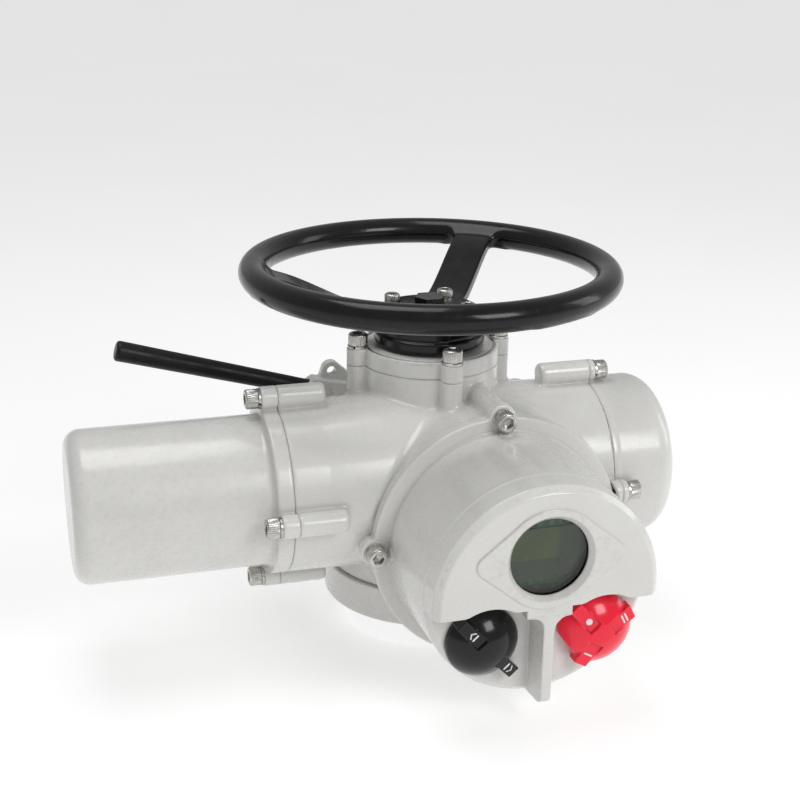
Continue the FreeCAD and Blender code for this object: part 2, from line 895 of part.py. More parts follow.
def make_electronics_chassis():
    """A round plate that carries the electronics, held in the mouth of the neck."""
    plate = cylinder(chassis_r, drum_centre + Y * chassis_y, Y, chassis_t)
    cable_way = box(drum_x - 20.0, drum_x + 20.0, chassis_y - 1.0, chassis_y + chassis_t + 1.0, 152.0, 168.0)
    return [plate.cut(cable_way)]


def make_board_standoffs():
    return [cylinder(3.5, p + Y * chassis_y, -Y, chassis_y - board_y) for p in standoff_places()]


def make_control_board():
    board = box(
        drum_x - 58.0, drum_x + 58.0, board_y - 1.6, board_y, drum_z - 44.0, drum_z + 44.0
    )
    parts = [board]
    for dx, dz, w, h, t in (
        (-36.0, 20.0, 22.0, 14.0, 12.0),
        (-6.0, 22.0, 16.0, 16.0, 4.0),
        (28.0, 20.0, 26.0, 12.0, 10.0),
        (-30.0, -20.0, 28.0, 12.0, 9.0),
        (14.0, -20.0, 18.0, 18.0, 5.0),
        (40.0, -18.0, 12.0, 12.0, 16.0),
    ):
        x, z = drum_x + dx, drum_z + dz
        parts.append(box(x - w / 2, x + w / 2, board_y - 1.6 - t, board_y - 1.6, z - h / 2, z + h / 2))
    return [fuse(parts)]


def make_power_transformer():
    y1 = chassis_y
    core = box(drum_x - 62.0, drum_x - 14.0, y1 - 30.0, y1, drum_z - 24.0, drum_z + 24.0)
    coil = box(drum_x - 54.0, drum_x - 22.0, y1 - 34.0, y1 - 30.0, drum_z - 16.0, drum_z + 16.0)
    return [fuse([core, coil]).cut(box(drum_x - 56, drum_x - 20, y1 - 31, y1 - 8, drum_z - 24, drum_z - 19))]


def make_reversing_contactor():
    y1 = chassis_y
    bodies = []
    for k in range(2):
        x0 = drum_x - 4.0 + k * 32.0
        block = box(x0, x0 + 29.0, y1 - 30.0, y1, drum_z - 24.0, drum_z + 24.0)
        ridge = box(x0 + 5.0, x0 + 24.0, y1 - 34.0, y1 - 30.0, drum_z - 10.0, drum_z + 10.0)
        bodies.append(fuse([block, ridge]))
    return bodies


def make_knob_sensor_board():
    y = cavity_y
    board = box(drum_x - 56.0, drum_x + 56.0, y, y + 1.6, knob_z - 12.0, knob_z + 12.0)
    reeds = [
        cylinder(1.6, Vector(c.x + dx, y + 3.2, c.z - 7.0), Z, 14.0)
        for c in knob_centres()
        for dx in (-7.0, 7.0)
    ]
    return [fuse([board] + reeds)]


# ---------------------------------------------------------------- knobs
def knob_base(index):
    return knob_centres()[index] - Y * knob_gap


def knob_dome(base, r):
    """A shallow dome on a short skirt, turned from its half outline."""
    cap_h = knob_h - knob_skirt_h
    dome_r = (r ** 2 + cap_h ** 2) / (2.0 * cap_h)
    half_angle = math.asin(r / dome_r) / 2.0
    centre = base - Y * (knob_h - dome_r)
    middle = centre + X * (dome_r * math.sin(half_angle)) - Y * (dome_r * math.cos(half_angle))
    rim = base + X * r
    shoulder = rim - Y * knob_skirt_h
    top = base - Y * knob_h
    edges = [
        Part.makeLine(base, rim),
        Part.makeLine(rim, shoulder),
        Part.Arc(shoulder, middle, top).toShape(),
        Part.makeLine(top, base),
    ]
    return Part.Face(Part.Wire(edges)).revolve(base, Y, 360.0)


def radial_slab(base, deg, half_w, outline):
    """A radial slab: its outline is given as (radius, height above the knob's back)."""
    slab = prism([Vector(r, -h, -half_w) for r, h in outline], Z * (2 * half_w))
    slab.rotate(Vector(0, 0, 0), Y, -deg)
    slab.translate(base)
    return slab


def with_plate(knob, base, deg, half_w, inner, tip):
    """Lay a flat sloping plate on a knob, sunk in the dome near its centre and proud at its rim."""
    top = knob_h + 2.0
    beyond = (tip[0] + 10.0, tip[1])
    room = radial_slab(base, deg, half_w, [inner, tip, beyond, (beyond[0], top), (inner[0], top)])
    plate = radial_slab(base, deg, half_w, [(inner[0], 2.0), inner, tip, (tip[0], 2.0)])
    return knob.cut(room).fuse(plate)


def knob_flat(base, deg, offset):
    """The block to cut away for a flat side at this distance from the knob's centre."""
    outline = [(offset, -1.0), (offset, knob_h), (offset + 20.0, knob_h), (offset + 20.0, -1.0)]
    return radial_slab(base, deg, 40.0, outline)


def spindle_room(base):
    return [
        cylinder(spindle_r + running_clearance, base, -Y, spindle_head_h0 + 1.0),
        cylinder(spindle_head_r + 0.5, base - Y * (spindle_head_h0 - 0.3), -Y, spindle_head_t + 1.3),
    ]


def make_black_knob():
    base = knob_base(0)
    knob = knob_dome(base, black_knob_r)
    for deg, inner, tip in black_plates:
        knob = with_plate(knob, base, deg, black_plate_half_w, inner, tip)
    return [cut(knob, spindle_room(base) + [magnet_bore(base)])]


def make_red_knob():
    base = knob_base(1)
    knob = knob_dome(base, red_knob_r)
    for deg in red_plate_degs:
        knob = with_plate(knob, base, deg, red_plate_half_w, red_plate_inner, red_plate_tip)
    flats = [knob_flat(base, deg, offset) for deg, offset in red_flats]
    return [cut(knob, flats + spindle_room(base) + [magnet_bore(base)])]


def magnet_bore(base):
    return cylinder(magnet_r, base + X * magnet_circle_r, -Y, 4.0)


def make_knob_magnet(index):
    return [cylinder(magnet_r, knob_base(index) + X * magnet_circle_r, -Y, 4.0)]


def make_knob_spindles():
    """Headed pins that hold the knobs on the panel; they don't pass through its wall."""
    pins = []
    for index, centre in enumerate(knob_centres()):
        head_start = centre - Y * (knob_gap + spindle_head_h0)
        pin = cylinder(spindle_r, centre + Y * spindle_depth, -Y, spindle_depth + knob_gap + spindle_head_h0)
        head = cylinder(spindle_head_r, head_start, -Y, spindle_head_t)
        pins.append(fuse([pin, head]))
    return pins


# ---------------------------------------------------------------- compartment contents


def make_terminal_block():
    """A moulded disc with a ring of terminals, across the terminal compartment."""
    disc = cylinder(motor_flange_r - arm_wall, arm_centre + X * (terminal_block_x - 8.0), X, 8.0)
    crown = ring(50.0, 34.0, arm_centre + X * terminal_block_x, X, 6.0)
    return [fuse([disc, crown])]


def make_terminal_studs():
    studs = []
    for angle in around(18, 10.0):
        dy, dz = polar(42.0, angle)
        start = Vector(terminal_block_x + 6.0, arm_y + dy, arm_z + dz)
        stud = cylinder(2.0, start, X, 9.0)
        nut = cylinder(3.6, start, X, 3.2)
        studs.append(stud.fuse(nut).removeSplitter())
    return studs


def make_conduit_plug():
    """A screwed plug with a hexagon head in the upper conduit entry."""
    place = conduit_places[1]
    seat = Vector(place.x, conduit_boss_y, place.z)
    thread = cylinder(conduit_thread_r, seat - Y * 12.0, Y, 12.0)
    collar = cylinder(16.0, seat, Y, 2.0)
    corners = [seat + Y * 2.0 + Rotation(Y, a).multVec(X * 13.5) for a in around(6)]
    return [fuse([thread, collar, prism(corners, Y * 7.0)])]


def earth_place():
    return Vector(58.0, 0.0, 96.0)


def earth_stud_bore():
    return cylinder(earth_stud_r, earth_place() + Y * (earth_seat_y - 9.0), Y, 12.0)


def make_earth_stud():
    """An earthing stud with its washer and nut, on the back of the terminal arm."""
    seat = earth_place() + Y * earth_seat_y
    stud = cylinder(earth_stud_r, seat - Y * 9.0, Y, 27.0)
    washer = cylinder(8.5, seat, Y, 2.0)
    corners = [seat + Y * 2.0 + Rotation(Y, a).multVec(X * 7.5) for a in around(6)]
    return [fuse([stud, washer, prism(corners, Y * 6.5)])]


# ---------------------------------------------------------------- motor


def worm_axis(x):
    return Vector(x, worm_y, arm_z)


def make_motor_end_shield():
    """The plate between the motor and the gear space, clamped in the cover's mouth."""
    disc = cylinder(motor_barrel_r - motor_wall, arm_centre + X * motor_split_x, -X, shield_t)
    return [disc.cut(cylinder(shaft_r + 4.0, worm_axis(motor_split_x), -X, shield_t))]


def make_motor_frame():
    front = motor_split_x - shield_t
    tube = ring(motor_frame_r, stator_r, worm_axis(frame_x0 + 9.0), X, front - frame_x0 - 9.0)
    end = ring(motor_frame_r, rear_bearing_r, worm_axis(frame_x0), X, 9.0)
    return [fuse([tube, end])]


def make_stator_core():
    core = ring(stator_r, rotor_r + 0.8, worm_axis(stator_x0), X, stator_x1 - stator_x0)
    slots = []
    for angle in around(24):
        dy, dz = polar(29.5, angle)
        slots.append(cylinder(2.3, worm_axis(stator_x0) + Vector(0, dy, dz), X, stator_x1 - stator_x0))
    return [core.cut(Part.Compound(slots))]


def make_stator_windings():
    coils = []
    for x0 in (stator_x0 - 12.0, stator_x1):
        coils.append(ring(40.5, rotor_r + 2.0, worm_axis(x0), X, 12.0))
    return coils


def make_motor_rear_bearing():
    return ball_bearing(shaft_r, rear_bearing_r, worm_axis(frame_x0), X, 9.0, 8)


def make_rotor_core():
    return [ring(rotor_r, shaft_r, worm_axis(stator_x0), X, stator_x1 - stator_x0)]


# ---------------------------------------------------------------- worm gearing


def make_worm_shaft():
    """A shaft with one right-hand worm thread; the motor's rotor sits on its far end."""
    thread_l = 2 * worm_half_l
    half_t = worm_pitch / 4.0 - tooth_backlash / 2.0
    root_r = worm_root_r - 0.3
    tip_half = half_t - worm_module * flank_tan
    root_half = half_t + (worm_pitch_r - root_r) * flank_tan
    helix = Part.makeHelix(worm_pitch, thread_l, worm_pitch_r)
    outline = [
        Vector(root_r, 0, -root_half),
        Vector(worm_tip_r, 0, -tip_half),
        Vector(worm_tip_r, 0, tip_half),
        Vector(root_r, 0, root_half),
    ]
    profile = Part.makePolygon(outline + outline[:1])
    thread = Part.Wire(helix).makePipeShell([profile], True, True)
    core = cylinder(worm_root_r, Vector(0, 0, -3.0), Z, thread_l + 6.0)
    worm = core.fuse(thread)
    worm.translate(Vector(0, 0, -worm_half_l))
    worm.rotate(Vector(0, 0, 0), Y, 90.0)
    worm.rotate(Vector(0, 0, 0), X, worm_phase_deg)
    worm.translate(worm_axis(0.0))
    rear_x = frame_x0 - 2.0
    left_x = left_web_x - web_half_t
    right_x = right_web_x + web_half_t + 3.0
    shaft = fuse(
        [
            cylinder(shaft_r, worm_axis(rear_x), X, left_x - rear_x),
            cylinder(journal_r, worm_axis(left_x), X, -worm_half_l - left_x),
            cylinder(journal_r, worm_axis(worm_half_l), X, right_x - worm_half_l),
        ]
    )
    return [worm.fuse(shaft).removeSplitter()]


def make_worm_bearings():
    solids = []
    for x in (left_web_x, right_web_x):
        solids += ball_bearing(journal_r, worm_bearing_r, worm_axis(x - web_half_t), X, 2 * web_half_t, 9)
    return solids


def make_worm_wheel():
    """A bronze wheel with straight teeth set at the worm's lead angle, and clutch dogs on top."""
    z0 = arm_z - wheel_half_width
    root_r = wheel_pitch_r - 1.2 * worm_module
    tip_r = wheel_pitch_r + worm_module
    rim = ring(root_r, sleeve_r, Vector(0, 0, z0), Z, 2 * wheel_half_width)
    half_t = worm_pitch / 4.0 - tooth_backlash / 2.0
    tip_half = half_t - worm_module * flank_tan
    root_half = half_t + (wheel_pitch_r - root_r) * flank_tan
    reach = wheel_half_width + 2.0
    outline = [
        Vector(root_r - 1.0, -root_half, -reach),
        Vector(tip_r + 1.0, -tip_half, -reach),
        Vector(tip_r + 1.0, tip_half, -reach),
        Vector(root_r - 1.0, root_half, -reach),
    ]
    tooth = prism(outline, Z * (2 * reach))
    tooth.rotate(Vector(0, 0, 0), X, -lead_deg)
    tooth.translate(Vector(0, 0, arm_z))
    teeth = [turned(tooth, Vector(0, 0, 0), Z, a) for a in around(wheel_teeth, -90.0)]
    blank = cylinder(tip_r, Vector(0, 0, z0), Z, 2 * wheel_half_width)
    toothed = blank.common(Part.Compound(teeth))
    hub_top = clutch_z - clutch_half_h - dog_h - 0.6
    hub_bottom = arm_z + wheel_half_width
    hub = ring(dog_outer_r, sleeve_r, Vector(0, 0, hub_bottom), Z, hub_top - hub_bottom)
    dogs = dog_ring(hub_top, 45.0)
    return [fuse([rim] + toothed.Solids + [hub] + dogs)]


def dog_ring(z0, first_deg):
    """Square clutch dogs that stand up from z0."""
    dogs = []
    for angle in around(dog_count, first_deg):
        wedge = Part.makeCylinder(dog_outer_r, dog_h, Vector(0, 0, z0), Z, dog_angle)
        wedge = turned(wedge, Vector(0, 0, 0), Z, angle - dog_angle / 2.0)
        dogs.append(wedge.cut(cylinder(dog_inner_r, Vector(0, 0, z0), Z, dog_h)))
    return dogs


# ---------------------------------------------------------------- output column contents
def make_drive_sleeve():
    body = cylinder(sleeve_r, Vector(0, 0, sleeve_bottom_z), Z, sleeve_top_z - sleeve_bottom_z)
    tools = [
        cylinder(sleeve_bore_r, Vector(0, 0, 0), Z, sleeve_top_z + 1.0),
        cylinder(bush_r, Vector(0, 0, 0), Z, bush_length + sleeve_bottom_z),
    ]
    return [cut(body, tools)]


def make_drive_bush():
    """The removable bush that is machined to suit the valve's stem, with one keyway."""
    body = ring(bush_r, bush_bore_r, Vector(0, 0, sleeve_bottom_z), Z, bush_length)
    keyway = box(0.0, bush_bore_r + 3.3, -4.0, 4.0, 0.0, bush_length + 5.0)
    return [body.cut(keyway)]


def make_sleeve_circlip():
    clip = ring(sleeve_r + 3.0, sleeve_r, Vector(0, 0, circlip_z), Z, 2.0)
    gap = box(sleeve_r - 2.0, sleeve_r + 5.0, -3.0, 3.0, circlip_z - 1.0, circlip_z + 3.0)
    return [clip.cut(gap)]


def make_output_bearings():
    solids = []
    for z in (lower_bearing_z, upper_bearing_z):
        solids += ball_bearing(sleeve_r, output_bearing_r, Vector(0, 0, z), Z, output_bearing_w, 12)
    return solids


def make_handwheel_bearing():
    return ball_bearing(hand_tube_r, output_bearing_r, Vector(0, 0, top_bearing_z), Z, top_bearing_w, 12)


def make_clutch_ring():
    """The sliding ring: dogs below drive from the worm wheel, dogs above from the handwheel."""
    z0 = clutch_z - clutch_half_h
    body = ring(clutch_r, sleeve_r + running_clearance, Vector(0, 0, z0), Z, 2 * clutch_half_h)
    groove_start = Vector(0, 0, clutch_z - clutch_groove_w / 2)
    groove = ring(clutch_r + 1.0, clutch_groove_r, groove_start, Z, clutch_groove_w)
    shapes = [body.cut(groove)]
    shapes += dog_ring(z0 - dog_h, 0.0)
    shapes += dog_ring(z0 + 2 * clutch_half_h, 0.0)
    return [fuse(shapes)]


def make_hand_drive_sleeve():
    web = ring(dog_outer_r + 1.0, sleeve_bore_r, Vector(0, 0, hand_web_z), Z, top_bearing_z - hand_web_z)
    tube = ring(hand_tube_r, sleeve_bore_r, Vector(0, 0, top_bearing_z), Z, hub_top_z - 8.0 - top_bearing_z)
    return [fuse([web, tube] + dog_ring(hand_web_z - dog_h, 45.0))]


# ---------------------------------------------------------------- handwheel


def spoke_side():
    """The spoke seen from the side: it rises from the hub to the rim in a gentle S."""
    y = 0.0
    lower = [Vector(34.0, y, hub_top_z - spoke_t - 3.0), Vector(62.0, y, hub_top_z - 7.0)]
    lower += [Vector(118.0, y, rim_z - 14.0), Vector(rim_centre_r, y, rim_z - 7.0)]
    upper = [Vector(rim_centre_r, y, rim_z + 3.0), Vector(120.0, y, rim_z - 3.5)]
    upper += [Vector(60.0, y, hub_top_z + 4.0), Vector(34.0, y, hub_top_z)]
    low_curve = Part.BSplineCurve()
    low_curve.interpolate(lower)
    high_curve = Part.BSplineCurve()
    high_curve.interpolate(upper)
    edges = [
        low_curve.toShape(),
        Part.makeLine(lower[-1], upper[0]),
        high_curve.toShape(),
        Part.makeLine(upper[-1], lower[0]),
    ]
    return Part.Face(Part.Wire(edges))


def spoke_plan():
    """The spoke seen from above: parallel sides that flare into the hub and the rim."""
    half = spoke_width / 2.0
    reach = rim_centre_r + 2.0
    flare_end = rim_centre_r - rim_tube_r + 2.0
    z = hub_top_z - 30.0
    sides = []
    for s in (-1, 1):
        start = Vector(30.0, s * (half + 2.0), z)
        waist = Vector(flare_end - spoke_flare, s * half, z)
        mid = Vector(
            flare_end - spoke_flare * (1 - math.sin(math.pi / 4)),
            s * (half + spoke_flare * (1 - math.cos(math.pi / 4))),
            z,
        )
        end = Vector(flare_end, s * (half + spoke_flare), z)
        outer = Vector(reach, s * (half + spoke_flare), z)
        sides.append((start, waist, mid, end, outer))
    (a0, a1, a2, a3, a4), (b0, b1, b2, b3, b4) = sides
    edges = [
        Part.makeLine(a0, a1),
        Part.Arc(a1, a2, a3).toShape(),
        Part.makeLine(a3, a4),
        Part.makeLine(a4, b4),
        Part.makeLine(b4, b3),
        Part.Arc(b3, b2, b1).toShape(),
        Part.makeLine(b1, b0),
        Part.makeLine(b0, a0),
    ]
    return Part.Face(Part.Wire(edges))


def make_spoke():
    side = spoke_side().extrude(Y * (2 * spoke_width + 20.0))
    side.translate(Y * (-spoke_width - 10.0))
    plan = spoke_plan().extrude(Z * 90.0)
    return side.common(plan)


def make_handwheel():
    rim = Part.makeTorus(rim_centre_r, rim_tube_r, Vector(0, 0, rim_z), Z)
    limit = cylinder(rim_centre_r, Vector(0, 0, hub_bottom_z), Z, 100.0)
    spoke = make_spoke().common(limit)
    hub = revolve(
        [
            (0, hub_bottom_z),
            (hub_r - 1.5, hub_bottom_z),
            (hub_r, hub_bottom_z + 1.5),
            (hub_r, hub_bottom_z + 8.0),
            (hub_r - 3.0, hub_bottom_z + 10.0),
            (hub_r - 3.0, hub_top_z - 2.0),
            (hub_r - 5.0, hub_top_z),
            (0, hub_top_z),
        ],
        Vector(0, 0, 0),
        Z,
    )
    shapes = [rim, hub]
    for angle in spoke_angles:
        shapes.append(turned(spoke, Vector(0, 0, 0), Z, angle))
    body = fuse(shapes)
    tools = [
        cylinder(hand_tube_r, Vector(0, 0, hub_bottom_z - 1.0), Z, hub_top_z - 8.0 - hub_bottom_z + 1.0),
        cylinder(plug_r, Vector(0, 0, hub_top_z - 8.0), Z, 20.0),
    ]
    for place in hub_bolt_places():
        tools.append(cylinder(hub_screw_r, place - Z * 18.0, Z, 18.0))
        tools.append(cylinder(hub_head_r + 0.6, place, Z, 12.0))
    return [cut(body, tools)]


def hub_bolt_places():
    return [Vector(*polar(hub_bolt_circle_r, a), hub_top_z) for a in hub_bolt_angles]


def make_handwheel_screws():
    screws = []
    for place in hub_bolt_places():
        head = cylinder(hub_head_r, place, Z, 8.0)
        shank = cylinder(hub_screw_r, place - Z * 18.0, Z, 18.0)
        corners = [place + Z * 4.0 + Vector(*polar(3.5, a), 0) for a in around(6)]
        screws.append(head.fuse(shank).cut(prism(corners, Z * 5.0)).removeSplitter())
    return screws


def make_hub_plug():
    """The screwed plug that closes the handwheel's centre over the valve's stem."""
    floor = hub_top_z - 8.0
    body = cylinder(plug_r, Vector(0, 0, floor), Z, 8.0)
    collar = cylinder(plug_r + 2.5, Vector(0, 0, hub_top_z), Z, 3.0)
    corners = [Vector(*polar(13.0, a), hub_top_z + 3.0) for a in around(6)]
    return [fuse([body, collar, prism(corners, Z * 7.0)])]


# ---------------------------------------------------------------- hand/auto lever


def hull_slab(c0, r0, c1, r1, half_t):
    """A flat bar, parallel to XZ, that wraps two circles."""
    start = Y * half_t
    discs = [cylinder(r0, c0 - start, Y, 2 * half_t), cylinder(r1, c1 - start, Y, 2 * half_t)]
    d = c1 - c0
    lean = math.acos((r0 - r1) / d.Length)
    base = math.atan2(d.z, d.x)
    corners = []
    for c, r, sign in ((c0, r0, 1), (c1, r1, 1), (c1, r1, -1), (c0, r0, -1)):
        a = base + sign * lean
        corners.append(c - start + Vector(r * math.cos(a), 0, r * math.sin(a)))
    return fuse(discs + [prism(corners, Y * (2 * half_t))])


def lever_pivot(y=lever_y):
    return Vector(lever_pivot_x, y, lever_pivot_z)


def rod_direction():
    d = rod_tip - rod_root
    return d * (1.0 / d.Length)


def make_clutch_lever():
    """The lever's casting: hub on the shaft, socket for the rod and an ear for a padlock."""
    arm = hull_slab(lever_pivot(), lever_hub_r, rod_root, socket_r, lever_half_t)
    ear = hull_slab(Vector(-62.0, lever_y, 160.0), 19.0, ear_tip, ear_tip_r, ear_half_t)
    body = fuse([arm, ear])
    back = rod_root - rod_direction() * 22.0
    tools = [
        cylinder(rod_root_r, back, rod_direction(), 60.0),
        cylinder(ear_hole_r, ear_tip - Y * 20.0, Y, 40.0),
        cylinder(lever_shaft_r, lever_pivot() - Y * 20.0, Y, 40.0),
        cylinder(22.0, Vector(-98.5, lever_y - 20.0, 189.0), Y, 40.0),
    ]
    return [cut(body, tools)]


def make_lever_rod():
    direction = rod_direction()
    back = rod_root - direction * 22.0
    length = (rod_tip - rod_root).Length
    inner = cylinder(rod_root_r, back, direction, 34.0)
    shaft = cone(rod_root_r, rod_tip_r, rod_root + direction * 12.0, direction, length - 12.0)
    rod = fuse([inner, shaft])
    end = [e for e in rod.Edges if (e.CenterOfMass - rod_tip).Length < 1.0]
    return [rod.makeFillet(3.0, end)]


def make_lever_shaft():
    shaft = cylinder(lever_shaft_r, lever_pivot(lever_shaft_y0), Y, lever_shaft_y1 - lever_shaft_y0)
    nut_corners = [
        lever_pivot(lever_y + lever_half_t) + Rotation(Y, a).multVec(X * 11.0) for a in around(6)
    ]
    nut = prism(nut_corners, Y * 5.0)
    return [fuse([shaft, nut])]


def make_lever_bush():
    return [
        ring(
            lever_bush_r,
            lever_shaft_r + running_clearance,
            lever_pivot(40.0),
            Y,
            lever_boss_end_y - 40.0,
        )
    ]


def make_shift_fork():
    """The crank on the lever's shaft; its shoe runs in the clutch ring's groove."""
    mid = (fork_y0 + fork_y1) / 2.0
    half = (fork_y1 - fork_y0) / 2.0
    tip = Vector(lever_pivot_x + crank_length, mid, lever_pivot_z)
    arm = hull_slab(lever_pivot(mid), fork_hub_r, tip, 5.5, half)
    shoe = cylinder(shoe_r, Vector(tip.x, fork_y0, tip.z), -Y, fork_y0 - 28.4)
    body = fuse([arm, shoe])
    return [body.cut(cylinder(lever_shaft_r, lever_pivot(20.0), Y, 40.0))]


# ---------------------------------------------------------------- covers' seals
def make_cover_o_rings():
    return [
        top_o_ring(),
        arm_o_ring(motor_split_x, -X),
        arm_o_ring(terminal_split_x, X),
        drum_o_ring(),
    ]


# ---------------------------------------------------------------- nodes
def write(name, solids):
    solids = [s for item in solids for s in item.Solids]
    shape = solids[0] if len(solids) == 1 else Part.Compound(solids)
    if not shape.isValid():
        print("invalid shape:", name)
    shape.exportStep(os.path.join("parts", name + ".step"))


def all_nodes():
    nodes = {
        "gearcase": [make_gearcase()],
        "thrust_base": [make_thrust_base()],
        "base_screws": make_base_screws(),
        "base_seal": make_base_seal(),
        "top_cover": [make_top_cover()],
        "top_seal": make_top_seal(),
        "motor_cover": [make_motor_cover()],
        "terminal_cover": [make_terminal_cover()],
        "control_cover": [make_control_cover()],
        "window_glass": make_window_glass(),
        "window_clamp_ring": make_window_clamp(),
        "display_panel": make_display_panel(),
        "display_board": make_display_board(),
        "electronics_chassis": make_electronics_chassis(),
        "board_standoffs": make_board_standoffs(),
        "control_board": make_control_board(),
        "power_transformer": make_power_transformer(),
        "reversing_contactor": make_reversing_contactor(),
        "knob_sensor_board": make_knob_sensor_board(),
        "knob_spindles": make_knob_spindles(),
        "terminal_block": make_terminal_block(),
        "terminal_studs": make_terminal_studs(),
        "conduit_plug": make_conduit_plug(),
        "earth_stud": make_earth_stud(),
        "motor_end_shield": make_motor_end_shield(),
        "motor_frame": make_motor_frame(),
        "stator_core": make_stator_core(),
        "stator_windings": make_stator_windings(),
        "motor_rear_bearing": make_motor_rear_bearing(),
        "worm_bearings": make_worm_bearings(),
        "output_bearings": make_output_bearings(),
        "handwheel_bearing": make_handwheel_bearing(),
        "lever_bush": make_lever_bush(),
        "cover_o_rings": make_cover_o_rings(),
        "rotor_core": make_rotor_core(),
        "worm_shaft": make_worm_shaft(),
        "worm_wheel": make_worm_wheel(),
        "drive_sleeve": make_drive_sleeve(),
        "drive_bush": make_drive_bush(),
        "sleeve_circlip": make_sleeve_circlip(),
        "clutch_ring": make_clutch_ring(),
        "hand_drive_sleeve": make_hand_drive_sleeve(),
        "handwheel": make_handwheel(),
        "handwheel_screws": make_handwheel_screws(),
        "hub_plug": make_hub_plug(),
        "clutch_lever": make_clutch_lever(),
        "lever_rod": make_lever_rod(),
        "lever_shaft": make_lever_shaft(),
        "shift_fork": make_shift_fork(),
        "black_knob": make_black_knob(),
        "black_knob_magnet": make_knob_magnet(0),
        "red_knob": make_red_knob(),
        "red_knob_magnet": make_knob_magnet(1),
    }
    washers = []
    for name, outward, seats in cover_fixings():
        nodes[name] = [cap_screw(seat, outward, depth) for seat, depth in seats]
        washers += [spring_washer(seat, outward) for seat, depth in seats]
    nodes["spring_washers"] = washers
    return nodes


os.makedirs("parts", exist_ok=True)
for node_name, node_solids in all_nodes().items():
    write(node_name, node_solids)
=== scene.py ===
import math

import bpy
import numpy as np
from mathutils import Matrix, Vector


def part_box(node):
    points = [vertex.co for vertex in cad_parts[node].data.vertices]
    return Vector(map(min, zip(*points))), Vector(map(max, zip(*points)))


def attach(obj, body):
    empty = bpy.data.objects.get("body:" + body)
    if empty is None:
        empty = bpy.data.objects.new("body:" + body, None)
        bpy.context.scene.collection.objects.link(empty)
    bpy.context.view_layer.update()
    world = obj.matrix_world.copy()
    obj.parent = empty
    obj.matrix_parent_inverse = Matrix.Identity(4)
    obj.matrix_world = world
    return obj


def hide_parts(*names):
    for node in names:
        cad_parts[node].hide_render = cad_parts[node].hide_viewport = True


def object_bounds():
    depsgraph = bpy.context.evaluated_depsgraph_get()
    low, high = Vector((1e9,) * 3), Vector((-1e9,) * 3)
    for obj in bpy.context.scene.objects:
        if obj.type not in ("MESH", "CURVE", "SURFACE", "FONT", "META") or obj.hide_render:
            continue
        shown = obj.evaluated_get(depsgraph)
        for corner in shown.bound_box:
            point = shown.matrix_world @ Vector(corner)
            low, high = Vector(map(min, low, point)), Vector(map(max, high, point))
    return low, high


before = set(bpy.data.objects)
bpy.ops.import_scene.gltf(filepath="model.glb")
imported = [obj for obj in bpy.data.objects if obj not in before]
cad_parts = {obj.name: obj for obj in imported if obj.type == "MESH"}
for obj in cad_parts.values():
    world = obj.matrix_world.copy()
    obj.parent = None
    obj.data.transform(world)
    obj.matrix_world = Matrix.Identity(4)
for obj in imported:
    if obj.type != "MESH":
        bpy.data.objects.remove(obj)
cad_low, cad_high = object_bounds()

MM = 0.001
X, Y, Z = 0, 1, 2
COARSE = 1.0
FAR = 300.0

# Sizes repeated from the CAD, in millimetres
BASE_FACE_Z = -3.5
FLANGE_R, BASE_H, SPIGOT_R, BASE_RING_R, BASE_RING_TOP = 87.5, 30.0, 50.0, 62.0, 34.0
BASE_BOLT_CIRCLE, BASE_BOLT_R, BASE_BOLT_DEPTH = 70.0, 8.0, 24.0
BASE_SCREW_CIRCLE, BASE_SCREW_SINK, BASE_SINK_R = 74.0, 12.0, 8.8
FOOT = ((30.0, 84.5), (64.0, 81.5), (84.0, 58.0))
SCOOP_R, SCOOP_TOP = 90.0, 56.0
COLUMN_R = 58.0
COLUMN_LUG_CIRCLE, COLUMN_LUG_END = 61.4, 90.0
COLUMN_BORE_R, COLUMN_FLOOR_Z, COLUMN_WEB = 52.0, 29.0, (82.0, 96.0)
LUG_R, LUG_ROUNDING = 9.3, 6.0
COLUMN_TOP, COVER_TOP = 206.0, 220.3
ARM = (0.0, -31.0, 116.0)
ARM_PROFILE = ((-137.0, 68.8), (-107.0, 69.2), (-58.0, 71.1), (58.0, 71.1), (100.5, 70.2), (130.5, 69.7))
ARM_BORE_R, ARM_WEB_X, ARM_WEB_HALF_T = 61.8, 66.0, 6.0
MOTOR_LUG_END, TERMINAL_LUG_END, NECK_LUG_END = -97.0, 85.5, -34.0
WORM, WORM_BEARING_R = (0.0, -42.0, 116.0), 22.0
MOTOR_FLANGE_R, MOTOR_BARREL_R, MOTOR_LUG_CIRCLE = 68.8, 61.4, 77.8
MOTOR_SPLIT, MOTOR_SEAT, MOTOR_END = -137.0, -150.2, -303.6
TERMINAL_R, TERMINAL_LUG_CIRCLE = 69.4, 78.6
TERMINAL_SPLIT, TERMINAL_SEAT, TERMINAL_END = 130.5, 135.7, 189.6
DRUM = (25.5, 0.0, 87.0)
NECK_R, NECK_FRONT, NECK_BACK, NECK_ROUNDING, NECK_BORE_R = 100.5, -101.0, -30.0, 14.0, 92.5
EARTH, EARTH_BOSS_R, EARTH_SEAT = (58.0, 0.0, 96.0), 10.0, 48.0
CONDUITS, CONDUIT_BOSS_R, CONDUIT_SEAT, CONDUIT_R = ((98.0, 0.0, 90.0), (98.0, 0.0, 142.0)), 21.0, 52.0, 12.5
DRUM_FLANGE_R, DRUM_FLANGE_Y, DRUM_LUG_CIRCLE = 103.2, -112.0, 102.7
DRUM_ROOT_R, PANEL_R, PANEL_Y, HOOD_Y = 91.4, 89.0, -197.3, -219.7
HOOD_EDGE_Z, HOOD_NECK_Z, HOOD_NECK_HALF, HOOD_BEVEL, ARCH_R = 79.0, 72.0, 18.0, 5.5, 35.5
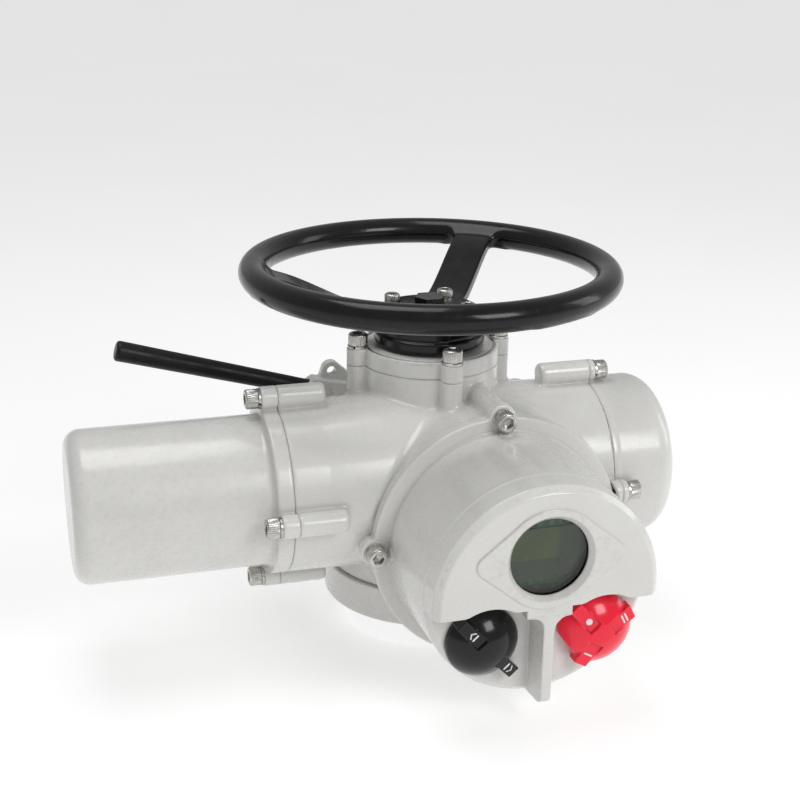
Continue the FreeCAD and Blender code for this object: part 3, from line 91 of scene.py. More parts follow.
CONTROL_X, RIB_FRONT, RIB_ROOT, RIB_BOTTOM, FLARES = 26.8, 4.1, 6.3, -2.0, ((-1, 9.5), (1, 13.2))
KNOB_DX, KNOB_Z, KNOB_H, KNOB_SKIRT, KNOB_GAP = 45.6, 48.6, 20.0, 3.0, 0.8
BLACK_KNOB_R, RED_KNOB_R = 28.8, 30.3
BLACK_PLATES = ((133.0, (7.5, 16.5), (29.0, 12.5)), (-48.0, (14.0, 14.0), (36.4, 9.0)))
RED_PLATES = tuple((deg, (8.5, 16.5), (30.0, 12.0)) for deg in (27.0, 133.0, 241.0))
RED_FLATS = ((214.0, 25.8), (40.0, 28.6))
WINDOW_Z, WINDOW_R = 119.5, 31.2
SCREW_R, HEAD_R, HEAD_H, WASHER_R, WASHER_T = 5.0, 8.0, 10.0, 8.6, 2.2
RIM_R, RIM_TUBE, RIM_Z = 145.8, 11.45, 282.0
SPOKE_ANGLES = (55.0, 175.0, 295.0)
SPOKE_FOOT, SPOKE_CREST, SPOKE_HALF_W, SPOKE_HALF_T = (34.0, 243.0), (146.0, 280.0), 16.5, 5.2
HUB_R, HUB_BOTTOM, HUB_TOP = 46.0, 222.8, 250.0
HUB_BOLT_R, HUB_BOLT_ANGLES = 34.0, (50.0, 140.0, 230.0, 320.0)
LEVER_PIVOT, LEVER_Y, LEVER_HALF_T = (-26.0, 71.0, 146.0), 71.0, 8.0
LEVER_BOSS_R, LEVER_BOSS_END, LEVER_BUSH_R, LEVER_SHAFT_R, LEVER_HUB_R = 15.0, 60.0, 10.0, 7.0, 16.0
EAR_TIP, EAR_TIP_R, EAR_HALF_T, EAR_HOLE_R = (-67.0, 178.5), 8.5, 4.5, 4.0
ROD_ROOT_R, ROD_SOCKET_R = 7.3, 11.0
CENTRE = (0.0, 0.0, 0.0)
ROD_ROOT, ROD_TIP = (-84.0, 71.0, 162.3), (-252.0, 71.0, 210.0)


# ------------------------------------------------------------------ fields
# A field takes points (N, 3) in millimetres and gives their distance, negative inside.
def rounded(a, b, edge):
    """The meeting of two distances with its corner rounded."""
    a, b = a + edge, b + edge
    return np.minimum(np.maximum(a, b), 0.0) + np.hypot(np.maximum(a, 0.0), np.maximum(b, 0.0)) - edge


def cyl(axis, centre, r, a, b, edge=0.0):
    """A cylinder from a to b along an axis; r may be a list of (place, radius)."""
    u, v = [k for k in range(3) if k != axis]

    def field(p):
        radial = np.hypot(p[:, u] - centre[u], p[:, v] - centre[v])
        if isinstance(r, (int, float)):
            side = radial - r
        else:
            side = (radial - np.interp(p[:, axis], [s[0] for s in r], [s[1] for s in r])) * 0.9
        return rounded(side, np.abs(p[:, axis] - (a + b) / 2.0) - (b - a) / 2.0, edge)

    return field


def rod(start, end, r0, r1):
    """A round bar with rounded ends whose radius runs from r0 to r1."""
    start, end = np.array(start, float), np.array(end, float)
    d = end - start

    def field(p):
        t = np.clip((p - start) @ d / (d @ d), 0.0, 1.0)
        return np.linalg.norm(p - start - t[:, None] * d, axis=1) - (r0 + (r1 - r0) * t)

    return field


def plate(outline, axis, a, b, edge=0.0):
    """A flat outline (a function of the two other coordinates) made thick along an axis."""
    u, v = [k for k in range(3) if k != axis]

    def field(p):
        across = np.abs(p[:, axis] - (a + b) / 2.0) - (b - a) / 2.0
        return rounded(outline(p[:, u], p[:, v]), across, edge)

    return field


def strap(c0, r0, c1, r1):
    """Flat outline that wraps two circles."""
    c0, c1 = np.array(c0, float), np.array(c1, float)
    length = np.linalg.norm(c1 - c0)
    along = (c1 - c0) / length
    lean = (r0 - r1) / length
    climb = math.sqrt(1.0 - lean * lean)

    def outline(u, v):
        du, dv = u - c0[0], v - c0[1]
        y = du * along[0] + dv * along[1]
        x = np.abs(du * along[1] - dv * along[0])
        k = -lean * x + climb * y
        flank = x * climb + y * lean - r0
        near_end, far_end = np.hypot(x, y) - r0, np.hypot(x, y - length) - r1
        return np.where(k < 0, near_end, np.where(k > climb * length, far_end, flank))

    return outline


def blend_min(a, b, k):
    if k <= 0:
        return np.minimum(a, b)
    h = np.maximum(k - np.abs(a - b), 0.0) / k
    return np.minimum(a, b) - h * h * k * 0.25


def join(k, *fields):
    """All the fields as one body, with fillets of about k where they meet."""

    def field(p):
        d = fields[0](p)
        for other in fields[1:]:
            d = blend_min(d, other(p), k)
        return d

    return field


def less(k, body, *tools):
    """The body without the tools, its new edges rounded by about k."""

    def field(p):
        d = body(p)
        for tool in tools:
            d = -blend_min(-d, tool(p), k)
        return d

    return field


def common(k, first, *others):
    return less(k, first, *[lambda p, f=f: -f(p) for f in others])


# ------------------------------------------------------------------ from field to mesh
CORNERS = np.array([(i, j, k) for i in (0, 1) for j in (0, 1) for k in (0, 1)])
CELL_EDGES = [(a, b) for a in range(8) for b in range(a + 1, 8) if np.abs(CORNERS[a] - CORNERS[b]).sum() == 1]
BLOCK = 4


def sample(field, low, high, step):
    """The field on a grid; only the blocks near the surface are worked out in full."""
    count = np.ceil((high - low) / (step * BLOCK)).astype(int)
    places = np.indices(count).reshape(3, -1).T
    middles = low + (places + 0.5 - 0.5 / BLOCK) * step * BLOCK
    rough = field(middles)
    grid = rough.reshape(count)
    for axis in range(3):
        grid = np.repeat(grid, BLOCK, axis)
    inner = np.indices((BLOCK,) * 3).reshape(3, -1).T
    near = places[np.abs(rough) < step * BLOCK * 1.2]
    for part in np.array_split(near, max(1, len(near) // 6000)):
        index = (part[:, None, :] * BLOCK + inner[None]).reshape(-1, 3)
        grid[index[:, 0], index[:, 1], index[:, 2]] = field(low + index * step)
    return grid


def slopes(field, points, h):
    total = np.zeros_like(points)
    for way in np.array([(1, -1, -1), (-1, -1, 1), (-1, 1, -1), (1, 1, 1)], float):
        total += way * field(points + way * h)[:, None]
    return total / (4.0 * h)


def surface_net(field, low, high, step):
    """Vertices and quads of the field's surface, the vertices moved onto it exactly."""
    low, high = np.array(low, float) - 2.5 * step, np.array(high, float) + 2.5 * step
    grid = sample(field, low, high, step)
    inside = grid < 0
    nx, ny, nz = (n - 1 for n in inside.shape)
    hits = sum(inside[i:nx + i, j:ny + j, k:nz + k].astype(np.int8) for i, j, k in CORNERS)
    cells = np.argwhere((hits > 0) & (hits < 8))
    number = np.full(hits.shape, -1, np.int64)
    number[tuple(cells.T)] = np.arange(len(cells))
    total, crossings = np.zeros((len(cells), 3)), np.zeros(len(cells))
    for a, b in CELL_EDGES:
        va = grid[tuple((cells + CORNERS[a]).T)]
        vb = grid[tuple((cells + CORNERS[b]).T)]
        crossed = (va < 0) != (vb < 0)
        t = np.where(crossed, va / np.where(crossed, va - vb, 1.0), 0.0)
        total += np.where(crossed[:, None], CORNERS[a] + t[:, None] * (CORNERS[b] - CORNERS[a]), 0.0)
        crossings += crossed
    points = low + (cells + total / crossings[:, None]) * step
    quads = []
    for axis in range(3):
        start = [slice(1, -1)] * 3
        start[axis] = slice(0, -1)
        end = list(start)
        end[axis] = slice(1, None)
        here, there = inside[tuple(start)], inside[tuple(end)]
        edges = np.argwhere(here != there)
        shift = np.ones(3, int)
        shift[axis] = 0
        edges = edges + shift
        u, v = np.zeros(3, int), np.zeros(3, int)
        u[(axis + 1) % 3] = 1
        v[(axis + 2) % 3] = 1
        ring = [number[tuple((edges - back).T)] for back in (u + v, v, np.zeros(3, int), u)]
        quad = np.stack(ring, axis=1)
        outward = inside[tuple(edges.T)]
        quads.append(np.where(outward[:, None], quad, quad[:, ::-1]))
    for _ in range(2):
        slope = slopes(field, points, 0.15 * step)
        size = np.maximum((slope * slope).sum(axis=1), 0.25)
        move = -(field(points) / size)[:, None] * slope
        length = np.maximum(np.linalg.norm(move, axis=1), 1e-9)
        points += move * np.minimum(1.0, 0.5 * step / length)[:, None]
    return points, np.concatenate(quads)


def mesh_object(name, points, *groups):
    """A Blender object from points in millimetres and arrays of faces, one array for each face size."""
    sizes = np.concatenate([np.full(len(faces), faces.shape[1]) for faces in groups])
    corners = np.concatenate([faces.ravel() for faces in groups])
    mesh = bpy.data.meshes.new(name)
    mesh.vertices.add(len(points))
    mesh.vertices.foreach_set("co", (np.asarray(points) * MM).ravel().astype(np.float32))
    mesh.loops.add(len(corners))
    mesh.loops.foreach_set("vertex_index", corners.astype(np.int32))
    mesh.polygons.add(len(sizes))
    mesh.polygons.foreach_set("loop_start", np.concatenate(([0], np.cumsum(sizes)[:-1])).astype(np.int32))
    mesh.update(calc_edges=True)
    mesh.shade_smooth()
    obj = bpy.data.objects.new(name, mesh)
    bpy.context.collection.objects.link(obj)
    return obj


def place(obj, body, slot, material, *nodes):
    obj.data.materials.append(material)
    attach(obj, body)
    if nodes:
        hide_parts(*nodes)
    return obj


def moulded(name, node, field, step, body, slot, material):
    """A piece made from a field in the space of its CAD node, with an edge-wear mask and a hollow mask that
    drives painted shade.
    """
    low, high = [np.array(c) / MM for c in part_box(node)]
    step = step * COARSE
    points, quads = surface_net(field, low, high, step)
    reach = 2.5
    slope = slopes(field, points, 0.3)
    normal = slope / np.maximum(np.linalg.norm(slope, axis=1), 1e-6)[:, None]
    # The hollow mask drives painted shade: colour darkened in hollows and corners, with a dirt tint.
    hollow = np.clip(1.0 - field(points + normal * reach) / reach, 0.0, 1.0)
    ridge = np.clip(1.0 + field(points - normal * reach) / reach, 0.0, 1.0)
    points = np.clip(points, low, high)
    obj = mesh_object(name, points, quads)
    for mask, values in (("hollow", hollow), ("ridge", ridge)):
        layer = obj.data.attributes.new(mask, "FLOAT", "POINT")
        layer.data.foreach_set("value", values.astype(np.float32))
    return place(obj, body, slot, material, node)


# ------------------------------------------------------------------ materials
def link(tree, source, target):
    tree.links.new(source, target)


def noise(tree, coords, scale, detail=4.0, roughness=0.55):
    node = tree.nodes.new("ShaderNodeTexNoise")
    node.inputs["Scale"].default_value = scale
    node.inputs["Detail"].default_value = detail
    node.inputs["Roughness"].default_value = roughness
    link(tree, coords, node.inputs["Vector"])
    return node.outputs["Fac"]


def remap(tree, value, a, b, c, d):
    node = tree.nodes.new("ShaderNodeMapRange")
    link(tree, value, node.inputs["Value"])
    for socket, number in zip(("From Min", "From Max", "To Min", "To Max"), (a, b, c, d)):
        node.inputs[socket].default_value = number
    return node.outputs["Result"]


def mix(tree, amount, first, second):
    """Mixes two colours, each a socket or a tuple."""
    node = tree.nodes.new("ShaderNodeMix")
    node.data_type = "RGBA"
    link(tree, amount, node.inputs["Factor"])
    for socket, colour in ((node.inputs["A"], first), (node.inputs["B"], second)):
        sockets = [s for s in node.inputs if s.name == socket.name and s.type == "RGBA"]
        if isinstance(colour, tuple):
            sockets[0].default_value = (*colour, 1.0)
        else:
            link(tree, colour, sockets[0])
    return [s for s in node.outputs if s.type == "RGBA"][0]


def arithmetic(tree, operation, a, b):
    node = tree.nodes.new("ShaderNodeMath")
    node.operation = operation
    node.use_clamp = operation in ("ADD", "MULTIPLY")
    for socket, value in zip(node.inputs, (a, b)):
        if isinstance(value, (int, float)):
            socket.default_value = value
        else:
            link(tree, value, socket)
    return node.outputs["Value"]


def mask(tree, name):
    node = tree.nodes.new("ShaderNodeAttribute")
    node.attribute_name = name
    return node.outputs["Fac"]


def finish(name, base, other, rough, mottle=28.0, grain=900.0, height=2e-5, swell=0.0, wear=None,
           shade_and_grime=None, scuffs=0.0, brushed=None, **sockets):
    """A finish with colour and gloss variation, bump, edge wear and painted shade with a dirt tint in the
    corners.
    """
    mat = bpy.data.materials.new(name)
    mat.use_nodes = True
    tree = mat.node_tree
    shader = tree.nodes["Principled BSDF"]
    for socket, value in sockets.items():
        shader.inputs[socket.replace("_", " ")].default_value = value
    coords = tree.nodes.new("ShaderNodeTexCoord").outputs["Object"]
    if brushed is not None:
        stretch = tree.nodes.new("ShaderNodeMapping")
        stretch.inputs["Scale"].default_value = brushed
        link(tree, coords, stretch.inputs["Vector"])
        fine = noise(tree, stretch.outputs["Vector"], grain, 3.0)
    else:
        fine = noise(tree, coords, grain, 2.0)
    broad = noise(tree, coords, mottle)
    colour = mix(tree, remap(tree, broad, 0.35, 0.65, 0.0, 1.0), base, other)
    gloss = remap(tree, noise(tree, coords, mottle * 3.1), 0.3, 0.7, *rough)
    if scuffs:
        spots = remap(tree, noise(tree, coords, mottle * 9.0, 8.0, 0.7), 0.60, 0.74, 0.0, scuffs)
        gloss = arithmetic(tree, "ADD", gloss, spots)
    # Darkens the colour in hollows and corners: painted shade, tinted a little towards dirt.
    if shade_and_grime is not None:
        patchy = remap(tree, broad, 0.3, 0.7, 0.35, 1.0)
        hollow = remap(tree, mask(tree, "hollow"), 0.12, 0.85, 0.0, 0.75)
        amount = arithmetic(tree, "MULTIPLY", hollow, patchy)
        colour = mix(tree, amount, colour, shade_and_grime)
    if wear is not None:
        chips = remap(tree, noise(tree, coords, 210.0, 6.0, 0.65), 0.50, 0.66, 0.0, 1.0)
        point = tree.nodes.new("ShaderNodeNewGeometry").outputs["Pointiness"]
        edges = arithmetic(tree, "MAXIMUM", remap(tree, mask(tree, "ridge"), 0.25, 0.7, 0.0, 1.0),
                           remap(tree, point, 0.56, 0.68, 0.0, 0.8))
        colour = mix(tree, arithmetic(tree, "MULTIPLY", edges, chips), colour, wear)
    link(tree, colour, shader.inputs["Base Color"])
    link(tree, gloss, shader.inputs["Roughness"])
    bump = tree.nodes.new("ShaderNodeBump")
    bump.inputs["Distance"].default_value = height
    bump.inputs["Strength"].default_value = 1.0
    link(tree, fine, bump.inputs["Height"])
    if swell:
        waves = tree.nodes.new("ShaderNodeBump")
        waves.inputs["Distance"].default_value = swell
        link(tree, noise(tree, coords, 55.0, 2.0), waves.inputs["Height"])
        link(tree, waves.outputs["Normal"], bump.inputs["Normal"])
    link(tree, bump.outputs["Normal"], shader.inputs["Normal"])
    return mat


# The colour each finish gives its hollows is painted shade, tinted a little towards dirt.
FINISHES = {
    "grey_paint": finish("grey_paint", (0.62, 0.615, 0.59), (0.645, 0.64, 0.62), (0.20, 0.34), grain=520.0,
                         height=1.6e-5, swell=4e-5, wear=(0.52, 0.51, 0.48), shade_and_grime=(0.30, 0.28, 0.24),
                         Coat_Weight=0.35, Coat_Roughness=0.12),
    "black_enamel": finish("black_enamel", (0.003, 0.003, 0.003), (0.006, 0.006, 0.006), (0.16, 0.30),
                           grain=420.0, height=1.2e-5, swell=6e-5, scuffs=0.25, wear=(0.03, 0.03, 0.03),
                           Specular_IOR_Level=0.22, Coat_Weight=0.35, Coat_Roughness=0.05, Coat_IOR=1.35),
    "lever_black": finish("lever_black", (0.004, 0.004, 0.004), (0.008, 0.008, 0.008), (0.30, 0.48),
                          grain=1500.0, height=1.5e-5, scuffs=0.2, wear=(0.06, 0.06, 0.06),
                          Specular_IOR_Level=0.25),
    "stainless": finish("stainless", (0.60, 0.59, 0.56), (0.48, 0.465, 0.44), (0.20, 0.38), mottle=160.0,
                        grain=5200.0, height=6e-6, brushed=(1.0, 1.0, 0.25), wear=(0.75, 0.74, 0.72),
                        shade_and_grime=(0.16, 0.14, 0.12), Metallic=1.0),
    "black_plastic": finish("black_plastic", (0.003, 0.003, 0.003), (0.006, 0.006, 0.007), (0.14, 0.24),
                            grain=1600.0, height=5e-6, scuffs=0.15, wear=(0.03, 0.03, 0.03),
                            Specular_IOR_Level=0.25, Coat_Weight=0.35, Coat_Roughness=0.05, Coat_IOR=1.35),
    "red_plastic": finish("red_plastic", (0.80, 0.006, 0.032), (0.88, 0.010, 0.042), (0.14, 0.24),
                          grain=1600.0, height=5e-6, scuffs=0.15, wear=(0.80, 0.10, 0.10),
                          shade_and_grime=(0.30, 0.0, 0.008), Specular_IOR_Level=0.35,
                          Coat_Weight=0.3, Coat_Roughness=0.06, Coat_IOR=1.4),
    "circuit_board": finish("circuit_board", (0.01, 0.10, 0.035), (0.02, 0.16, 0.06), (0.28, 0.45),
                            mottle=240.0, grain=2500.0, height=2e-5, wear=(0.20, 0.30, 0.20)),
    "dark_moulding": finish("dark_moulding", (0.018, 0.018, 0.02), (0.032, 0.032, 0.034), (0.38, 0.55),
                            grain=2600.0, height=2e-5, wear=(0.08, 0.08, 0.08)),
    "pale_moulding": finish("pale_moulding", (0.62, 0.58, 0.48), (0.70, 0.66, 0.56), (0.40, 0.55),
                            grain=2600.0, height=2e-5, wear=(0.75, 0.72, 0.65)),
    "bright_steel": finish("bright_steel", (0.52, 0.52, 0.53), (0.42, 0.42, 0.43), (0.18, 0.34), mottle=90.0,
                           grain=4200.0, height=6e-6, brushed=(0.3, 1.0, 1.0), wear=(0.72, 0.72, 0.72),
                           Metallic=1.0),
    "core_steel": finish("core_steel", (0.20, 0.20, 0.21), (0.14, 0.14, 0.15), (0.38, 0.55), mottle=60.0,
                         grain=3500.0, height=3e-5, brushed=(4.0, 0.2, 0.2), wear=(0.40, 0.40, 0.40),
                         Metallic=1.0),
    "cast_aluminium": finish("cast_aluminium", (0.50, 0.50, 0.50), (0.42, 0.42, 0.43), (0.40, 0.58),
                             mottle=70.0, grain=1400.0, height=6e-5, wear=(0.68, 0.68, 0.68), Metallic=1.0),
    "bronze": finish("bronze", (0.52, 0.30, 0.12), (0.40, 0.21, 0.08), (0.24, 0.42), mottle=90.0,
                     grain=3000.0, height=1.5e-5, wear=(0.72, 0.48, 0.24), Metallic=1.0),
    "copper_winding": finish("copper_winding", (0.50, 0.17, 0.06), (0.34, 0.10, 0.035), (0.26, 0.44),
                             mottle=200.0, grain=1800.0, height=1.5e-4, brushed=(2.0, 0.4, 0.4),
                             wear=(0.70, 0.34, 0.18), Metallic=0.8),
    "nickel_brass": finish("nickel_brass", (0.58, 0.54, 0.42), (0.48, 0.44, 0.33), (0.20, 0.36), mottle=110.0,
                           grain=3600.0, height=1e-5, wear=(0.72, 0.60, 0.34), Metallic=1.0),
    "seal_rubber": finish("seal_rubber", (0.012, 0.012, 0.012), (0.022, 0.022, 0.022), (0.55, 0.75),
                          grain=2600.0, height=2e-5, wear=(0.05, 0.05, 0.05)),
    "white_mark": finish("white_mark", (0.80, 0.80, 0.78), (0.72, 0.72, 0.70), (0.30, 0.45), mottle=300.0,
                         grain=2600.0, height=4e-6),
}


def display_material():
    """A dark display: an olive field at the upper left that is a painted reflection, a violet-grey band below
    it.
    """
    mat = finish("display_green", (0.060, 0.075, 0.012), (0.095, 0.115, 0.020), (0.16, 0.28), mottle=40.0,
                 grain=900.0, height=1e-6, wear=(0.10, 0.12, 0.06), Coat_Weight=0.3, Coat_Roughness=0.04)
    tree = mat.node_tree
    shader = tree.nodes["Principled BSDF"]
    # The olive base colour stands for a painted reflection on the dark display.
    olive = shader.inputs["Base Color"].links[0].from_socket
    coords = tree.nodes.new("ShaderNodeTexCoord").outputs["Object"]
    parts = tree.nodes.new("ShaderNodeSeparateXYZ")
    link(tree, coords, parts.inputs["Vector"])
    below = remap(tree, parts.outputs["Z"], (WINDOW_Z - 4.0) * MM, (WINDOW_Z - 5.0) * MM, 0.0, 1.0)
    beside = remap(tree, parts.outputs["X"], (DRUM[0] + 6.0) * MM, (DRUM[0] + 14.0) * MM, 0.0, 1.0)
    banded = mix(tree, below, olive, (0.030, 0.026, 0.032))
    link(tree, mix(tree, beside, banded, (0.008, 0.010, 0.016)), shader.inputs["Base Color"])
    return mat


def glass_material():
    """Thick dark-tinted glass with a faint coating."""
    mat = finish("window_glass", (0.62, 0.70, 0.58), (0.66, 0.73, 0.62), (0.0, 0.02), mottle=60.0,
                 grain=60.0, height=2e-7, Transmission_Weight=1.0, IOR=1.42, Specular_IOR_Level=0.4)
    return mat


FINISHES["display_green"] = display_material()
FINISHES["window_glass"] = glass_material()


# ------------------------------------------------------------------ places of the screws
def around(count, first=0.0):
    return [first + 360.0 * k / count for k in range(count)]


def polar(r, deg):
    return r * math.cos(math.radians(deg)), r * math.sin(math.radians(deg))


def column_lugs():
    return [(*polar(COLUMN_LUG_CIRCLE, a), 0.0) for a in around(4)]


def arm_lugs(circle):
    return [(0.0, ARM[1] + dy, ARM[2] + dz) for dy, dz in (polar(circle, a) for a in around(4))]


def drum_lugs():
    return [(DRUM[0] + dx, 0.0, DRUM[2] + dz) for dx, dz in (polar(DRUM_LUG_CIRCLE, a) for a in around(4))]


# Each cover's screws: node, body axis, outward sign, seat along the axis, places, depths
FIXINGS = (
    ("top_cover_screws", Z, 1, COVER_TOP, column_lugs(), (34.0,) * 4),
    ("motor_cover_screws", X, -1, MOTOR_SEAT, arm_lugs(MOTOR_LUG_CIRCLE), (36.0,) * 4),
    ("terminal_cover_screws", X, 1, TERMINAL_SEAT, arm_lugs(TERMINAL_LUG_CIRCLE), (34.0, 34.0, 10.0, 34.0)),
    ("control_cover_screws", Y, -1, DRUM_FLANGE_Y, drum_lugs(), (13.0, 30.0, 30.0, 21.0)),
)


def bores(name):
    """The screw holes of one cover, as long as its screws."""
    tools = []
    for fixing, axis, sign, seat, places, depths in FIXINGS:
        if fixing == name:
            for centre, depth in zip(places, depths):
                a, b = sorted((seat + sign * 1.0, seat - sign * depth))
                tools.append(cyl(axis, centre, SCREW_R, a, b))
    return tools


# ------------------------------------------------------------------ castings
def lug(axis, centre, a, b, far_end):
    """A screw boss along an axis whose far end, at a or b, is well rounded."""
    within = (-FAR, far_end) if far_end == b else (far_end, FAR)
    return common(LUG_ROUNDING, cyl(axis, centre, LUG_R, a, b, 0.8), cyl(axis, centre, 60.0, *within))


def gearcase_outer():
    foot = cyl(Z, CENTRE, FOOT, BASE_H, FOOT[-1][0], 1.5)
    column = cyl(Z, CENTRE, COLUMN_R, 60.0, COLUMN_TOP, 0.8)
    arm = cyl(X, ARM, ARM_PROFILE, MOTOR_SPLIT, TERMINAL_SPLIT, 0.8)
    neck = common(NECK_ROUNDING, cyl(Y, DRUM, NECK_R, NECK_FRONT, NECK_BACK, 0.8),
                  cyl(Y, DRUM, FAR, -FAR, NECK_BACK))
    parts = [arm, column, foot, neck]
    parts += [cyl(Z, c, LUG_R, COLUMN_LUG_END, COLUMN_TOP, 0.8) for c in column_lugs()]
    parts += [lug(X, c, MOTOR_SPLIT, MOTOR_LUG_END, MOTOR_LUG_END) for c in arm_lugs(MOTOR_LUG_CIRCLE)]
    parts += [lug(X, c, TERMINAL_LUG_END, TERMINAL_SPLIT, TERMINAL_LUG_END)
              for c in arm_lugs(TERMINAL_LUG_CIRCLE)]
    parts += [lug(Y, c, NECK_FRONT, NECK_LUG_END, NECK_LUG_END) for c in drum_lugs()]
    parts.append(cyl(Y, EARTH, EARTH_BOSS_R, 0.0, EARTH_SEAT, 1.0))
    parts.append(cyl(Y, LEVER_PIVOT, LEVER_BOSS_R, 35.0, LEVER_BOSS_END, 1.2))
    parts += [cyl(Y, c, CONDUIT_BOSS_R, 0.0, CONDUIT_SEAT, 1.5) for c in CONDUITS]
    return join(5.0, *parts)


def gearcase_inner():
    return join(
        1.0,
        cyl(Z, CENTRE, BASE_RING_R, COLUMN_FLOOR_Z, BASE_RING_TOP),
        cyl(Z, CENTRE, COLUMN_BORE_R, COLUMN_FLOOR_Z, COLUMN_TOP + 4.0),
        cyl(X, ARM, ARM_BORE_R, MOTOR_SPLIT - 3.0, TERMINAL_SPLIT + 3.5),
        less(0.5, cyl(Y, DRUM, NECK_BORE_R, NECK_FRONT - 3.0, -64.0),
             cyl(Z, CENTRE, SCOOP_R + 8.0, -80.0, 64.0)),
    )


def gearcase():
    webs = [cyl(X, ARM, 66.8, x - ARM_WEB_HALF_T, x + ARM_WEB_HALF_T) for x in (-ARM_WEB_X, ARM_WEB_X)]
    webs.append(cyl(Z, CENTRE, 57.0, *COLUMN_WEB))
    shell = join(2.0, less(0.5, gearcase_outer(), gearcase_inner()), *webs)
    scoop = cyl(Z, CENTRE, SCOOP_R, -80.0, SCOOP_TOP)
    kept_foot = cyl(Z, CENTRE, FOOT[0][1], BASE_H, FOOT[-1][0])
    scooped = join(2.0, less(1.0, shell, scoop), common(0.5, shell, kept_foot))
    tools = [
        cyl(Y, DRUM, DRUM_FLANGE_R + 1.0, -140.0, NECK_FRONT),
        cyl(X, ARM, TERMINAL_R + 1.0, TERMINAL_SPLIT, 200.0),
        cyl(Z, CENTRE, 40.0, COLUMN_WEB[0] - 1.0, COLUMN_WEB[1] + 1.0),
        cyl(Y, LEVER_PIVOT, LEVER_BUSH_R, 30.0, 70.0),
    ]
    for x in (-ARM_WEB_X, ARM_WEB_X):
        tools.append(cyl(X, WORM, WORM_BEARING_R, x - ARM_WEB_HALF_T - 1.0, x + ARM_WEB_HALF_T + 1.0))
    tools += [cyl(Y, c, CONDUIT_R, 0.0, CONDUIT_SEAT + 4.0) for c in CONDUITS]
    for fixing in FIXINGS:
        tools += bores(fixing[0])
    return less(0.6, scooped, *tools)


def thrust_base():
    body = join(0.5, cyl(Z, CENTRE, FLANGE_R, 0.0, BASE_H, 1.6),
                cyl(Z, CENTRE, BASE_RING_R, BASE_H, BASE_RING_TOP),
                cyl(Z, CENTRE, SPIGOT_R, BASE_FACE_Z, 1.0, 0.6))
    tools = [cyl(Z, CENTRE, 26.0, -10.0, 60.0), cyl(Z, CENTRE, 34.0, -10.0, 5.5),
             cyl(Z, CENTRE, 40.0, 14.0, 60.0)]
    for angle in around(4, 45.0):
        place_on_ring = (*polar(BASE_BOLT_CIRCLE, angle), 0.0)
        tools.append(cyl(Z, place_on_ring, BASE_BOLT_R, -5.0, BASE_BOLT_DEPTH))
    for angle in around(8, 22.5):
        place_on_ring = (*polar(BASE_SCREW_CIRCLE, angle), 0.0)
        tools.append(cyl(Z, place_on_ring, SCREW_R, -5.0, 60.0))
        tools.append(cyl(Z, place_on_ring, BASE_SINK_R, -5.0, BASE_SCREW_SINK))
    return less(0.6, body, *tools)


def top_cover():
    parts = [cyl(Z, CENTRE, COLUMN_R, COLUMN_TOP, COVER_TOP, 1.4)]
    parts += [cyl(Z, c, LUG_R, COLUMN_TOP, COVER_TOP, 1.2) for c in column_lugs()]
    parts.append(cyl(Z, CENTRE, 46.0, 188.0, COVER_TOP))
    groove = less(0.0, cyl(Z, CENTRE, 55.2, 218.5, 230.0), cyl(Z, CENTRE, 53.0, 200.0, 240.0))
    tools = [groove, cyl(Z, CENTRE, 40.0, 180.0, 204.0), cyl(Z, CENTRE, 27.0, 180.0, 240.0),
             cyl(Z, CENTRE, 34.0, 211.3, 240.0)]
    return less(0.5, join(2.5, *parts), *tools, *bores("top_cover_screws"))


def motor_cover():
    flange = join(4.0, cyl(X, ARM, MOTOR_FLANGE_R, MOTOR_SEAT, MOTOR_SPLIT, 1.6),
                  *[cyl(X, c, LUG_R, MOTOR_SEAT, MOTOR_SPLIT, 1.4) for c in arm_lugs(MOTOR_LUG_CIRCLE)])
    barrel = cyl(X, ARM, MOTOR_BARREL_R, MOTOR_END, MOTOR_SPLIT + 14.0, 13.0)
    barrel = common(0.8, barrel, cyl(X, ARM, 200.0, -400.0, MOTOR_SPLIT))
    inside = cyl(X, ARM, MOTOR_BARREL_R - 4.0, MOTOR_END + 4.0, -100.0, 9.0)
    return less(0.5, join(5.0, flange, barrel), inside, *bores("motor_cover_screws"))


def terminal_cover():
    flange = join(3.0, cyl(X, ARM, 69.7, TERMINAL_SPLIT, TERMINAL_SEAT, 1.2),
                  *[cyl(X, c, LUG_R, TERMINAL_SPLIT, TERMINAL_SEAT, 1.2)
                    for c in arm_lugs(TERMINAL_LUG_CIRCLE)])
    dome = common(0.8, cyl(X, ARM, TERMINAL_R, TERMINAL_SPLIT - 20.0, TERMINAL_END, 17.0),
                  cyl(X, ARM, 200.0, TERMINAL_SPLIT, 400.0))
    inside = cyl(X, ARM, 61.8, 80.0, TERMINAL_END - 5.0, 13.0)
    return less(0.5, join(1.6, flange, dome), inside, *bores("terminal_cover_screws"))


def knob_places():
    return [(CONTROL_X + side * KNOB_DX, PANEL_Y, KNOB_Z) for side in (-1, 1)]


def hood(inset, front, back):
    """The visor's shape, pulled in from its edges by inset."""
    def outline(x, z):
        disc = np.hypot(x - DRUM[0], z - DRUM[2]) - (PANEL_R - inset)
        upper = HOOD_EDGE_Z + inset - z
        neck = np.maximum(np.abs(x - CONTROL_X) - (HOOD_NECK_HALF - inset), HOOD_NECK_Z + inset - z)
        d = np.maximum(disc, np.minimum(upper, neck))
        for cx, _, cz in knob_places():
            d = -blend_min(-d, np.hypot(x - cx, z - cz) - (ARCH_R + inset), 1.6)
        return d

    return plate(outline, Y, front, back, 1.2 if inset == 0 else 0.5)


